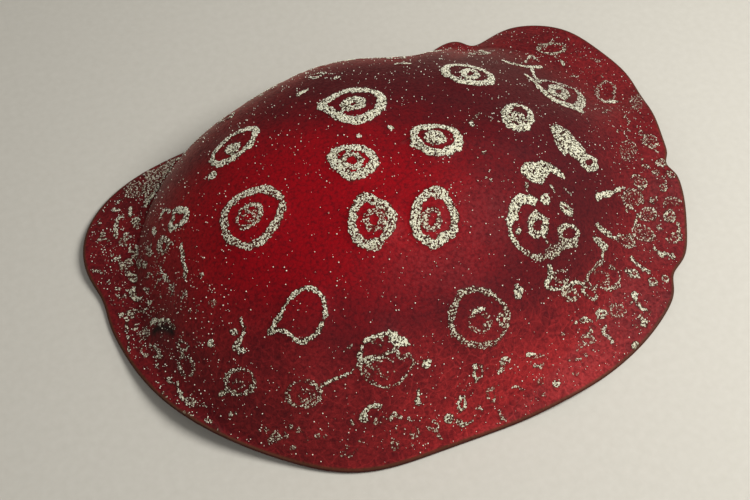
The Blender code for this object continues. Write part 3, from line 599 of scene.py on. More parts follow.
# Rings on the far flank, which the photograph doesn't show: x, y, half length, half width in
# millimetres, turn in degrees, half width of the band and how full it is
FAR_RINGS = [
    (-30, 56, 7.5, 3.6, 8, 1.1, 0.8), (-31, 56, 3.2, 1.4, 8, 0.8, 0.65), (4, 59, 6.5, 3.4, -6, 1.1, 0.75),
    (5, 59, 2.6, 1.3, -6, 0.8, 0.62), (33, 62, 5.5, 3.6, -16, 0.9, 0.7), (34, 62, 2, 1.3, 0, 0.7, 0.6),
    (-57, 49, 6, 3.4, 28, 1.0, 0.66), (-12, 45, 2.4, 1.5, 0, 0.7, 0.7), (18, 50, 3, 1.8, 20, 0.7, 0.7),
    (-44, 44, 2.6, 1.6, -20, 0.7, 0.7), (50, 52, 3, 2, -20, 0.7, 0.6),
]


def between(first, last, share):
    """What lies that share of the way from the first to the last."""
    return first + (last - first) * share


def polar(x, y):
    """Bearing in degrees, and distance from the middle."""
    return np.degrees(np.arctan2(y, x)), np.hypot(x, y)


def compass(bearing):
    """Cosine and sine of a bearing in degrees."""
    turn = np.radians(bearing)
    return np.cos(turn), np.sin(turn)


def off_bearing(bearing, place):
    """How many degrees a bearing lies to the left of a place on the rim."""
    return (bearing - place + 180) % 360 - 180


def lobe(bearing, place, width, size):
    """A smooth swelling of that size and width, centred on that bearing."""
    return size * np.exp(-((off_bearing(bearing, place) / width) ** 2))


def quarter_oval(x, y, front, rear, left, right, power=2.0):
    """How far out (x, y) lies in an oval of four unlike quarters: 1 on its outline."""
    along = np.where(x > 0, front, rear)
    across = np.where(y > 0, left, right)
    return (np.abs(x / along) ** power + np.abs(y / across) ** power) ** (1 / power)


def rim_reach(bearing, narrowest=0):
    """Distance from the middle to the mantle's rim, with the lobes of at least that width."""
    halves = (HALF_LENGTH, HALF_LENGTH, HALF_WIDTH_LEFT, HALF_WIDTH_RIGHT)
    base = 1 / quarter_oval(*compass(bearing), *halves, SQUARENESS)
    return base + sum(lobe(bearing, *size) for size in RIM_LOBES.values() if size[1] >= narrowest)


def turned(x, y, place, degrees):
    """(x, y) measured from a place, along and across a direction."""
    turn = math.radians(degrees)
    x, y = x - place[0], y - place[1]
    return x * math.cos(turn) + y * math.sin(turn), y * math.cos(turn) - x * math.sin(turn)


def hump(x, y):
    """Height of the domed back alone."""
    along, across = turned(x, y, HUMP_CENTRE, HUMP_TURN)
    endways = along**2 / np.maximum(along**2 + across**2, 1e-12)
    power = endways * np.where(along > 0, FRONT_POWER, REAR_POWER)
    power = power + (1 - endways) * np.where(across > 0, LEFT_POWER, RIGHT_POWER)
    out = quarter_oval(along, across, *HUMP_HALVES)
    return HUMP_HEIGHT * np.maximum(0.0, 1 - out**HUMP_FULLNESS) ** power


def back(x, y):
    """Height of the mantle's upper surface, without the relief of its marks."""
    bearing, reach = polar(x, y)
    share = np.minimum(1.0, reach / rim_reach(bearing))
    lift = sum(lobe(bearing, *size) for size in RIM_LIFTS.values()) * share**LIFT_CURVE
    aside = off_bearing(bearing, ARCH_BEARING) / ARCH_HALF_WIDTH
    arch = ARCH_HEIGHT * np.exp(-(aside**ARCH_FLATNESS))
    skirt = RIM_THICKNESS + SKIRT_RISE * (1 - share**SKIRT_CURVE) + arch + lift
    dome = hump(x, y) * np.sqrt(1 - share**RIM_TUCK)
    fillet = RIM_FILLET + FILLET * (1 - share**FILLET_FADE)
    faired = fillet * np.logaddexp(dome / fillet, skirt / fillet)
    dent = np.hypot(x - SIPHON_PLACE[0], y - SIPHON_PLACE[1]) / SIPHON_WIDTH
    swelling = sum(
        SWELLING_HEIGHT * np.exp(-((np.hypot(x - along, y - across) / radius) ** SWELLING_FLATNESS))
        for along, across, radius in SWELLINGS.values()
    )
    return faired - SIPHON_DEPTH * np.exp(-(dent**2)) + swelling


def on_surface(x, y):
    """Points of the back at those places."""
    return np.column_stack([x, y, back(x, y)])


def root_reach(bearing):
    """Distance from the middle at which the free skirt leaves the domed back."""
    c, s = compass(bearing)
    along = np.where(c > 0, ROOT_FRONT, ROOT_REAR)
    across = np.where(s > 0, ROOT_LEFT, ROOT_RIGHT)
    return (c * c * along + s * s * across) * rim_reach(bearing, BROAD_LOBE)


def underside(x, y, step=0.0005):
    """Height of the mantle's underside."""
    bearing, reach = polar(x, y)
    slope_x = (back(x + step, y) - back(x - step, y)) / (2 * step)
    slope_y = (back(x, y + step) - back(x, y - step)) / (2 * step)
    steepness = np.minimum(STEEPEST_CUT, np.sqrt(1 + slope_x**2 + slope_y**2))
    root = root_reach(bearing)
    outward = np.clip((reach - root) / (rim_reach(bearing) - root), 0.0, 1.0)
    thickness = between(ROOT_THICKNESS, RIM_THICKNESS, outward**SKIRT_TAPER)
    low = np.maximum(0.0, back(x, y) - thickness * steepness)
    return np.where(reach < root, np.minimum(low, BODY_TOP), low)


def on_back(pixels, samples=160, halvings=14):
    """Places on the mantle that the camera sees at those pixels, and which of them it hits."""
    away = (VIEW_TARGET - VIEW_FROM).normalized()
    right = away.cross(Vector((0, 0, 1))).normalized()
    away, right, up = np.array(away), np.array(right), np.array(right.cross(away))
    focal = LENS / SENSOR * PHOTO_WIDTH
    across = (pixels[:, :1] - PHOTO_WIDTH / 2) / focal
    above = (PHOTO_HEIGHT / 2 - pixels[:, 1:]) / focal
    rays = away + right * across + up * above
    eye = np.array(VIEW_FROM) - ROW_SHIFT
    near = (HUMP_HEIGHT + FILLET * 2 - eye[2]) / rays[:, 2]
    far = -eye[2] / rays[:, 2]

    def under_back(reach):
        x, y, z = (eye + rays * reach[:, None]).T
        bearing, out = polar(x, y)
        return (out < rim_reach(bearing)) & (z < back(x, y))

    low, high = near.copy(), far.copy()
    hit = np.zeros(len(pixels), bool)
    for share in np.linspace(0, 1, samples):
        reach = between(near, far, share)
        fresh = ~hit & under_back(reach)
        high[fresh] = reach[fresh]
        low[~hit & ~fresh] = reach[~hit & ~fresh]
        hit |= fresh
    for _ in range(halvings):
        middle = (low + high) / 2
        under = under_back(middle)
        low, high = np.where(under, low, middle), np.where(under, middle, high)
    return eye + rays * high[:, None], hit


def smooth_path(points, closed, pieces=5):
    """A curve through points that are given as x and y in turn, as a finer chain of points."""
    points = np.reshape(points, (-1, 2)).astype(float)
    if closed:
        padded = np.concatenate([points[-1:], points, points[:2]])
    else:
        padded = np.concatenate([points[:1] * 2 - points[1:2], points, points[-1:] * 2 - points[-2:-1]])
    path = []
    for a, b, c, d in zip(padded, padded[1:], padded[2:], padded[3:]):
        for t in np.arange(pieces) / pieces:
            path.append(0.5 * (
                2 * b + (c - a) * t + (2 * a - 5 * b + 4 * c - d) * t**2
                + (3 * b - a - 3 * c + d) * t**3))
    if not closed:
        path.append(points[-1])
    return np.array(path)


def oval(x, y, half_width, half_height, tilt, sides=20):
    """Points round a tilted oval."""
    turn = np.linspace(0, 2 * math.pi, sides, endpoint=False)
    tilt = math.radians(tilt)
    along, across = half_width * np.cos(turn), half_height * np.sin(turn)
    return np.stack([
        x + along * math.cos(tilt) - across * math.sin(tilt),
        y + along * math.sin(tilt) + across * math.cos(tilt),
    ], axis=1)


def distance_to_path(points, path, closed):
    """Distance from each point to a chain of points, and how far along the chain it is nearest."""
    ends = np.concatenate([path[1:], path[:1]]) if closed else path[1:]
    starts = path if closed else path[:-1]
    nearest = np.full(len(points), np.inf)
    along = np.zeros(len(points))
    for index, (start, end) in enumerate(zip(starts, ends)):
        run = end - start
        share = np.clip((points - start) @ run / max(run @ run, 1e-12), 0, 1)
        distance = np.linalg.norm(points - start - share[:, None] * run, axis=1)
        closer = distance < nearest
        nearest[closer] = distance[closer]
        along[closer] = (index + share[closer]) / len(starts)
    return nearest, along


def inside_path(points, path):
    """Whether each point lies inside a closed chain, seen from above."""
    inside = np.zeros(len(points), bool)
    x, y = points[:, 0], points[:, 1]
    corners = path[:, :2]
    for (x0, y0), (x1, y1) in zip(corners, np.roll(corners, -1, axis=0)):
        if y0 != y1:
            crosses = (y0 > y) != (y1 > y)
            inside ^= crosses & (x < x0 + (y - y0) * (x1 - x0) / (y1 - y0))
    return inside


def broken_ring(random, middle, radius):
    """Points along a squashed ring that is left open."""
    turn = random.uniform(0, 2 * math.pi) + np.linspace(0, random.uniform(*BROKEN_ARC), BROKEN_POINTS)
    squash = random.uniform(*BROKEN_SQUASH)
    return middle + radius * np.column_stack([np.cos(turn), squash * np.sin(turn)])


def broken_rings():
    """Pixels along each of the small broken rings, with how full it is."""
    random = np.random.default_rng(BROKEN_SEED)
    for count, region, least, greatest, fullness in BROKEN_RINGS.values():
        corners = np.reshape(region, (-1, 2)).astype(float)
        made = 0
        while made < count:
            middle = random.uniform(corners.min(axis=0), corners.max(axis=0))
            arc = broken_ring(random, middle, random.uniform(least, greatest))
            if inside_path(middle[None, :], corners)[0]:
                made += 1
                yield arc, fullness


def far_broken_rings():
    """Places along each of the small broken rings by the far rim, with how full it is."""
    random = np.random.default_rng(BROKEN_SEED + 1)
    count, bearings, shares, radii, fullness = FAR_BROKEN
    for _ in range(count):
        bearing = random.uniform(*bearings)
        turn = math.radians(bearing)
        middle = rim_reach(bearing) * random.uniform(*shares) * np.array([math.cos(turn), math.sin(turn)])
        yield broken_ring(random, middle, random.uniform(*radii) * MM), fullness


def mark_paths():
    """Every mark as a chain of places: closed or not, its half widths, how full, filled or not."""
    drawn = []
    for half, fullness, pixels in LOOPS.values():
        drawn.append((smooth_path(pixels, True), True, half, half, fullness, False))
    for name, region in OVALS.items():
        for *place, half, fullness in region:
            drawn.append((oval(*place), True, half, half, fullness, False))
            if name == "head margin":
                drawn.append((oval(*place), True, 0, 0, HEAD_FILLING, True))
    for region in LINES.values():
        for first, last, fullness, pixels in region:
            drawn.append((smooth_path(pixels, False), False, first, last, fullness, False))
    for fullness, pixels in PATCHES.values():
        drawn.append((smooth_path(pixels, True), True, 0, 0, fullness, True))
    for pixels, fullness in broken_rings():
        drawn.append((pixels, False, BROKEN_HALF, BROKEN_HALF, fullness, False))
    places, hit = on_back(np.concatenate([pixels for pixels, *_ in drawn]))
    marks = []
    start = 0
    for pixels, *look in drawn:
        run = slice(start, start + len(pixels))
        start += len(pixels)
        marks.append((places[run][hit[run]], *look))
    for *place, half, fullness in FAR_RINGS:
        marks.append((on_surface(*(oval(*place) * MM).T), True, half, half, fullness, False))
    for flat, fullness in far_broken_rings():
        marks.append((on_surface(*flat.T), False, BROKEN_HALF, BROKEN_HALF, fullness, False))
    return [mark for mark in marks if len(mark[0]) > 1]


def marking(points, marks):
    """How deep each point lies in a mark's band, in millimetres, and how full that mark is."""
    depth = np.full(len(points), -MARK_REACH)
    full = np.zeros(len(points))
    for path, closed, first_half, last_half, fullness, filled in marks:
        reach = (MARK_REACH + max(first_half, last_half)) * MM
        low, high = path.min(axis=0) - reach, path.max(axis=0) + reach
        near = np.flatnonzero(((points > low) & (points < high)).all(axis=1))
        if not len(near):
            continue
        distance, along = distance_to_path(points[near], path, closed)
        inward = between(first_half, last_half, along) - distance / MM
        if filled:
            inward = np.where(inside_path(points[near], path), distance / MM, -distance / MM)
        inward = np.minimum(inward, DEEPEST)
        deeper = inward > depth[near]
        depth[near[deeper]] = inward[deeper]
        full[near[deeper]] = fullness
    return depth, full


def disc(u, v):
    """Bearing and share of the radius for a square grid's (u, v), so that it fills a disc evenly."""
    a, b = 2 * u - 1, 2 * v - 1
    x = a * np.sqrt(np.maximum(0.0, 1 - b * b / 2))
    y = b * np.sqrt(np.maximum(0.0, 1 - a * a / 2))
    bearing, reach = polar(x, y)
    return bearing, np.minimum(1.0, reach)


def grid(columns, rows):
    """u and v of a grid of points, in rows."""
    u, v = np.meshgrid(np.linspace(0, 1, columns + 1), np.linspace(0, 1, rows + 1))
    return u.ravel(), v.ravel()


def grid_faces(columns, rows, first=0):
    """Four-sided faces of a grid of points, in rows."""
    corner = (np.arange(rows)[:, None] * (columns + 1) + np.arange(columns)).ravel() + first
    return np.stack([corner, corner + 1, corner + columns + 2, corner + columns + 1], axis=1)


def grid_border(columns, rows):
    """Indices round the border of a grid of points, anticlockwise from its first corner."""
    across, along, width = np.arange(columns), np.arange(rows), columns + 1
    return np.concatenate([
        across, columns + along * width, rows * width + columns - across, (rows - along) * width])


def disc_grid(cells):
    """x and y of a square grid of points pressed out to the mantle's rim."""
    bearing, out = disc(*grid(cells, cells))
    reach = out * rim_reach(bearing)
    c, s = compass(bearing)
    return reach * c, reach * s


def placed(name, data):
    """A new object of the scene with that data."""
    made = bpy.data.objects.new(name, data)
    bpy.context.scene.collection.objects.link(made)
    return made


def object_of(maker, name):
    """A new object with what a bmesh holds."""
    mesh = bpy.data.meshes.new(name)
    maker.to_mesh(mesh)
    maker.free()
    return placed(name, mesh)


def mesh_object(name, points, faces):
    """A mesh object from points without the row's shift, and lists of faces."""
    mesh = bpy.data.meshes.new(name)
    mesh.from_pydata([tuple(p) for p in np.asarray(points) + ROW_SHIFT], [], [tuple(f) for f in faces])
    mesh.validate()
    mesh.update()
    return placed(name, mesh)


def close_up(maker):
    """Merges a form's doubled points and turns its faces outwards."""
    bmesh.ops.remove_doubles(maker, verts=maker.verts, dist=MERGE)
    bmesh.ops.recalc_face_normals(maker, faces=maker.faces)


def smooth_step(value, low, high):
    """0 below low, 1 above high and smooth between."""
    share = np.clip((value - low) / (high - low), 0, 1)
    return share * share * (3 - 2 * share)


def relief(depth):
    """Height that the marks add to the back."""
    return RELIEF * smooth_step(depth, *RELIEF_EDGE)


def mantle_form(marks):
    """The closed form of the mantle: a fine upper side, a rounded rim and a coarser underside."""
    x, y = disc_grid(UPPER_CELLS)
    top = on_surface(x, y)
    top[:, 2] += relief(marking(top, marks)[0])
    points = [top]
    faces = [grid_faces(UPPER_CELLS, UPPER_CELLS)]
    ring = grid_border(UPPER_CELLS, UPPER_CELLS)
    count = len(x)
    rim = top[ring]
    low = underside(x[ring], y[ring])
    outward = rim[:, :2] / np.hypot(x[ring], y[ring])[:, None]
    previous = ring
    for row in range(1, RIM_ROWS):
        share = row / RIM_ROWS
        bulge = RIM_BULGE * math.sin(math.pi * share)
        points.append(np.column_stack([rim[:, :2] + outward * bulge, between(rim[:, 2], low, share)]))
        current = count + np.arange(len(ring))
        count += len(ring)
        faces.append(np.stack([previous, current, np.roll(current, -1), np.roll(previous, -1)], axis=1))
        previous = current
    under_x, under_y = disc_grid(UNDER_CELLS)
    points.append(np.column_stack([under_x, under_y, underside(under_x, under_y)]))
    faces.append(grid_faces(UNDER_CELLS, UNDER_CELLS, count)[:, ::-1])
    border = grid_border(UNDER_CELLS, UNDER_CELLS) + count
    ratio = UPPER_CELLS // UNDER_CELLS
    strips = []
    for index, (here, there) in enumerate(zip(border, np.roll(border, -1))):
        fine = [previous[(index * ratio + step) % len(previous)] for step in range(ratio + 1)]
        strips.append([here, there] + fine[::-1])
    every_face = [face for block in faces for face in block.tolist()] + strips
    return mesh_object("skin", np.concatenate(points), every_face)


def slab_form(name, columns, rows, point):
    """A closed slab between two grids of points: point(u, v, False) above and point(u, v, True) below."""
    u, v = grid(columns, rows)
    sides = [np.column_stack(np.broadcast_arrays(*point(u, v, below))) for below in (False, True)]
    count = len(u)
    border = grid_border(columns, rows)
    following = np.roll(border, -1)
    faces = np.concatenate([
        grid_faces(columns, rows),
        grid_faces(columns, rows, count)[:, ::-1],
        np.stack([border, border + count, following + count, following], axis=1),
    ])
    made = mesh_object(name, np.concatenate(sides), faces)
    maker = bmesh.new()
    maker.from_mesh(made.data)
    close_up(maker)
    maker.to_mesh(made.data)
    maker.free()
    return made


def oval_places(u, v, centre, *halves):
    """Places that fill an oval of four unlike quarters evenly, and how far out each lies."""
    bearing, out = disc(u, v)
    c, s = compass(bearing)
    reach = out / quarter_oval(c, s, *halves)
    return centre[0] + reach * c, centre[1] + reach * s, out


def body_form():
    """The wall of the body, from inside the foot to inside the mantle."""

    def point(u, v, below):
        x, y, _ = oval_places(u, v, BODY_CENTRE, BODY_FRONT, BODY_REAR, BODY_LEFT, BODY_RIGHT)
        x = np.minimum(x, HEAD_BACK)
        if below:
            return x, y, FOOT_THICKNESS - EMBED / 2
        return x, y, np.minimum(BODY_TOP, underside(x, y)) + EMBED

    return slab_form("body_form", *BODY_CELLS, point)


def foot_form():
    """The crawling foot, flat below and thin at its edge."""

    def point(u, v, below):
        x, y, out = oval_places(u, v, FOOT_CENTRE, *FOOT_HALVES)
        if below:
            return x, y, 0.0
        thin = np.maximum(0.0, (out - FOOT_TAPER) / (1 - FOOT_TAPER))
        top = between(FOOT_THICKNESS, FOOT_EDGE, thin**FOOT_CURVE)
        return x, y, np.minimum(top, underside(x, y) - CLEARANCE)

    return slab_form("foot_form", *FOOT_CELLS, point)


def head_form():
    """The blunt head, whose back end lies inside the body."""

    def point(u, v, below):
        x = HEAD_BACK - EMBED + (HEAD_FACE - HEAD_BACK + EMBED) * v
        across = np.sin(np.radians(90) * (2 * u - 1))
        y = MIDLINE + HEAD_HALF_WIDTH * across
        if below:
            return x, y, FOOT_THICKNESS - HEAD_SINK
        rise = np.sqrt(np.maximum(0, 1 - np.abs(across) ** HEAD_ROUNDNESS))
        top = np.minimum(between(FOOT_THICKNESS, HEAD_TOP, rise), underside(x, y) - CLEARANCE)
        return x, y, np.maximum(FOOT_THICKNESS + FOOT_EDGE * HEAD_EDGE, top)

    return slab_form("head_form", *HEAD_CELLS, point)


def lips_form():
    """The lips, a flattened ring on the face."""
    maker = bmesh.new()
    bmesh.ops.create_grid(maker, x_segments=LIP_CELLS[0], y_segments=LIP_CELLS[1], size=0.5)
    for vert in maker.verts:
        around = 2 * math.pi * (vert.co.x + 0.5)
        tube = 2 * math.pi * (vert.co.y + 0.5)
        out = LIP_RADIUS * math.cos(tube)
        vert.co = Vector(ROW_SHIFT) + Vector((
            HEAD_FACE + LIP_RADIUS * LIP_BULGE * (1 + math.sin(tube)) - LIP_RADIUS * LIP_SINK,
            MIDLINE + (LIP_HALF_WIDTH + out) * math.cos(around),
            LIP_LEVEL + (LIP_HALF_HEIGHT + out) * math.sin(around),
        ))
    close_up(maker)
    return object_of(maker, "lips_form")


def veil_form():
    """The oral veil, rooted in the face."""

    def point(u, v, below):
        across = 2 * u - 1
        x = HEAD_FACE - EMBED + (VEIL_REACH + EMBED) * v * (1 - VEIL_EDGE_BOW * across**2)
        y = MIDLINE + between(VEIL_ROOT_HALF_WIDTH, VEIL_EDGE_HALF_WIDTH, v) * across
        z = between(VEIL_ROOT_LEVEL, VEIL_EDGE_LEVEL, v**VEIL_DROOP)
        z = z + VEIL_CURL * v * across**VEIL_CURL_CURVE
        thickness = between(VEIL_ROOT_THICKNESS, VEIL_EDGE_THICKNESS, v)
        return x, y, z - (thickness if below else 0.0)

    return slab_form("veil_form", *VEIL_CELLS, point)


def rhinophore_form(side):
    """A sheet rolled into a tube, with its slit on the outer side and its root in the head."""

    def point(u, v, below):
        radius = between(RHINOPHORE_ROOT_RADIUS, RHINOPHORE_TIP_RADIUS, v)
        radius = radius - (RHINOPHORE_WALL if below else 0.0)
        turn = np.radians(180 + RHINOPHORE_ROLL * (u - 0.5)) * side - np.radians(90 - side * 90)
        splay = RHINOPHORE_FROM_MIDLINE + RHINOPHORE_SPLAY * v**RHINOPHORE_SPREAD
        x = HEAD_FACE - EMBED * (1 - v) + RHINOPHORE_LENGTH * v
        y = MIDLINE + side * splay - radius * np.cos(turn)
        z = RHINOPHORE_LEVEL - RHINOPHORE_DROP * v**RHINOPHORE_SAG + radius * np.sin(turn)
        return x, y, z

    return slab_form("rhinophore_form", *RHINOPHORE_CELLS, point)


def wall(x):
    """y of the right wall of the body at x, and the direction straight out of it."""
    ahead = x - BODY_CENTRE[0]
    along = BODY_FRONT if ahead > 0 else BODY_REAR
    y = BODY_CENTRE[1] - BODY_RIGHT * math.sqrt(max(0.0, 1 - (ahead / along) ** 2))
    return y, Vector((ahead / along**2, (y - BODY_CENTRE[1]) / BODY_RIGHT**2, 0)).normalized()


def papilla_form(x):
    """A blunt cone rooted in the right wall of the body."""
    y, outward = wall(x)
    maker = bmesh.new()
    bmesh.ops.create_cone(
        maker, cap_ends=True, segments=PAPILLA_SIDES,
        radius1=PAPILLA_RADIUS, radius2=PAPILLA_TIP_RADIUS, depth=PAPILLA_LENGTH + EMBED)
    turn = outward.to_track_quat("Z", "Y").to_matrix().to_4x4()
    middle = Vector((x, y, PAPILLA_LEVEL)) + outward * (PAPILLA_LENGTH - EMBED) / 2
    place = Matrix.Translation(middle + Vector(ROW_SHIFT)) @ turn
    bmesh.ops.transform(maker, verts=maker.verts, matrix=place)
    return object_of(maker, "papilla_form")


def evaluated_mesh(source):
    """A plain mesh of what an object's modifiers make."""
    bpy.context.view_layer.update()
    graph = bpy.context.evaluated_depsgraph_get()
    return bpy.data.meshes.new_from_object(source.evaluated_get(graph))


def join_forms(base, others):
    """Fuses closed forms into one skin."""
    forms = bpy.data.collections.new("forms")
    for other in others:
        forms.objects.link(other)
    union = base.modifiers.new("union", "BOOLEAN")
    union.operation = "UNION"
    union.solver = "MANIFOLD"
    union.operand_type = "COLLECTION"
    union.collection = forms
    joined = evaluated_mesh(base)
    base.modifiers.clear()
    base.data = joined
    for other in others:
        bpy.data.objects.remove(other, do_unlink=True)
    bpy.data.collections.remove(forms)


def store(mesh, name, values):
    """Keeps one number for each point of a mesh, for its material to read."""
    layer = mesh.attributes.new(name, "FLOAT", "POINT")
    layer.data.foreach_set("value", np.asarray(values, np.float32))


def edge_tone(x, y, share):
    """How far a place belongs to the redder margin of the mantle, less at the rear, far side, head end
    and near side, where painted shade dulls it.
    """
    edge = smooth_step(share, *EDGE_MARGIN) * (1 - REAR_PAINTED_SHADE * smooth_step(-x, *REAR_END))
    edge = edge * (1 - FAR_PAINTED_SHADE * smooth_step(y, *FAR_SIDE))
    edge = edge * (1 - HEAD_PAINTED_SHADE * smooth_step(x, *HEAD_END))
    return edge * (1 - NEAR_PAINTED_SHADE * (smooth_step(-x, *NEAR_REAR) * smooth_step(-y, *NEAR_SIDE)))


def dress_points(skin, marks):
    """Keeps, for each point of the skin, what its material paints by."""
    mesh = skin.data
    count = len(mesh.vertices)
    points = np.empty(count * 3, np.float32)
    mesh.vertices.foreach_get("co", points)
    x, y, z = (points.reshape(-1, 3).astype(float) - ROW_SHIFT).T
    bearing, reach = polar(x, y)
    rim = rim_reach(bearing)
    surface = on_surface(x, y)
    upper = (z > surface[:, 2] - RIM_THICKNESS * UPPER_DEPTH) & (reach < rim * UPPER_REACH)
    marked, full = np.full(count, -MARK_REACH), np.zeros(count)
    marked[upper], full[upper] = marking(surface[upper], marks)
    # Painted highlight: the crown is painted brighter, fading towards the margin, and the flanks take the
    # painted shade
    along, across = turned(x, y, CROWN_HIGHLIGHT_PLACE, CROWN_HIGHLIGHT_TURN)
    crown = np.exp(-((along / CROWN_HIGHLIGHT_LENGTH) ** 2 + (across / CROWN_HIGHLIGHT_WIDTH) ** 2) ** CROWN_HIGHLIGHT_FALL)
    crown = crown * (1 - CROWN_HIGHLIGHT_FADE * smooth_step(reach / rim, *CROWN_HIGHLIGHT_MARGIN))
    # Painted shadow along the hollow's cleft
    arc = on_back(smooth_path(HOLLOW_ARC, False))[0]
    hollow_shadow = np.exp(-((distance_to_path(surface, arc, False)[0] / HOLLOW_WIDTH) ** 2))
    tones = {
        "marked": marked,
        "full": full,
        "crown": crown * upper,
        "edge": edge_tone(x, y, reach / rim) * upper,
        "brink": smooth_step(reach / rim, *BRINK),
        "hollow_shadow": hollow_shadow * upper,
        "inset": np.where(upper, (rim - reach) / MM, -1.0),
        "upper": upper,
    }
    for name, values in tones.items():
        store(mesh, name, values)


def sharpen(mesh):
    """Smooth shading, but for the edges that bend sharply."""
    mesh.shade_smooth()
    maker = bmesh.new()
    maker.from_mesh(mesh)
    for edge in maker.edges:
        if len(edge.link_faces) == 2:
            edge.smooth = edge.calc_face_angle(0.0) < math.radians(SHARP_ANGLE)
    maker.to_mesh(mesh)
    maker.free()


class Shades:
    """Short ways to add and join the nodes of one material or geometry tree."""

    def __init__(self, tree):
        self.tree = tree

    def node(self, kind, values=None, **settings):
        made = self.tree.nodes.new(kind)
        for key, value in settings.items():
            setattr(made, key, value)
        for key, value in (values or {}).items():
            self.feed(made.inputs[key], value)
        return made

    def feed(self, socket, value):
        if isinstance(value, bpy.types.NodeSocket):
            self.tree.links.new(value, socket)
        else:
            socket.default_value = value

    def maths(self, operation, first, second=0.0):
        return self.node("ShaderNodeMath", {0: first, 1: second}, operation=operation).outputs[0]

    def plus(self, first, second):
        return self.maths("ADD", first, second)

    def minus(self, first, second):
        return self.maths("SUBTRACT", first, second)

    def times(self, first, second):
        return self.maths("MULTIPLY", first, second)

    def moved(self, operation, place, by):
        return self.node("ShaderNodeVectorMath", {0: place, 1: by}, operation=operation).outputs[0]

    def blend(self, share, first, second):
        made = self.node("ShaderNodeMix", data_type="RGBA")
        for index, value in ((0, share), (6, first), (7, second)):
            self.feed(made.inputs[index], value)
        return made.outputs[2]

    def ramp(self, value, low, high, first=0.0, last=1.0):
        made = self.node("ShaderNodeMapRange", interpolation_type="SMOOTHSTEP")
        for socket, number in zip(made.inputs, (value, low, high, first, last)):
            self.feed(socket, number)
        return made.outputs[0]

    def attribute(self, name):
        return self.node("ShaderNodeAttribute", attribute_name=name).outputs["Fac"]

    def noise(self, place, scale, detail=2.0, roughness=0.5, output="Fac"):
        made = self.node("ShaderNodeTexNoise", {
            "Vector": place, "Scale": scale, "Detail": detail, "Roughness": roughness})
        return made.outputs[output]

    def cells(self, place, scale):
        values = {"Vector": place, "Scale": scale}
        return self.node("ShaderNodeTexVoronoi", values, feature="DISTANCE_TO_EDGE").outputs["Distance"]

    def bump(self, height, strength, distance):
        values = {"Strength": strength, "Distance": distance, "Height": height}
        return self.node("ShaderNodeBump", values).outputs["Normal"]


def new_material(name):
    """A material, ways to its nodes, its shader, and the place on the piece."""
    made = bpy.data.materials.new(name)
    made.use_nodes = True
    shades = Shades(made.node_tree)
    place = shades.node("ShaderNodeTexCoord").outputs["Object"]
    return made, shades, made.node_tree.nodes["Principled BSDF"].inputs, place


def mark_cover(shades, place, marked, full):
    """How deep a place lies in a mark's ragged outline, and above 0 where granules stand close."""
    ragged = shades.times(shades.minus(shades.noise(place, *RAGGED), 0.5), RAGGEDNESS)
    wavy = shades.times(shades.minus(shades.noise(place, *WAVY), 0.5), WAVINESS)
    sparse = shades.minus(1.0, full)
    depth = shades.plus(marked, shades.plus(ragged, wavy))
    depth = shades.minus(depth, shades.times(sparse, SPARSE_DEPTH))
    bare = shades.plus(BARE, shades.times(sparse, SPARSE_BARE))
    return depth, shades.minus(shades.noise(place, *CLOSENESS), bare)


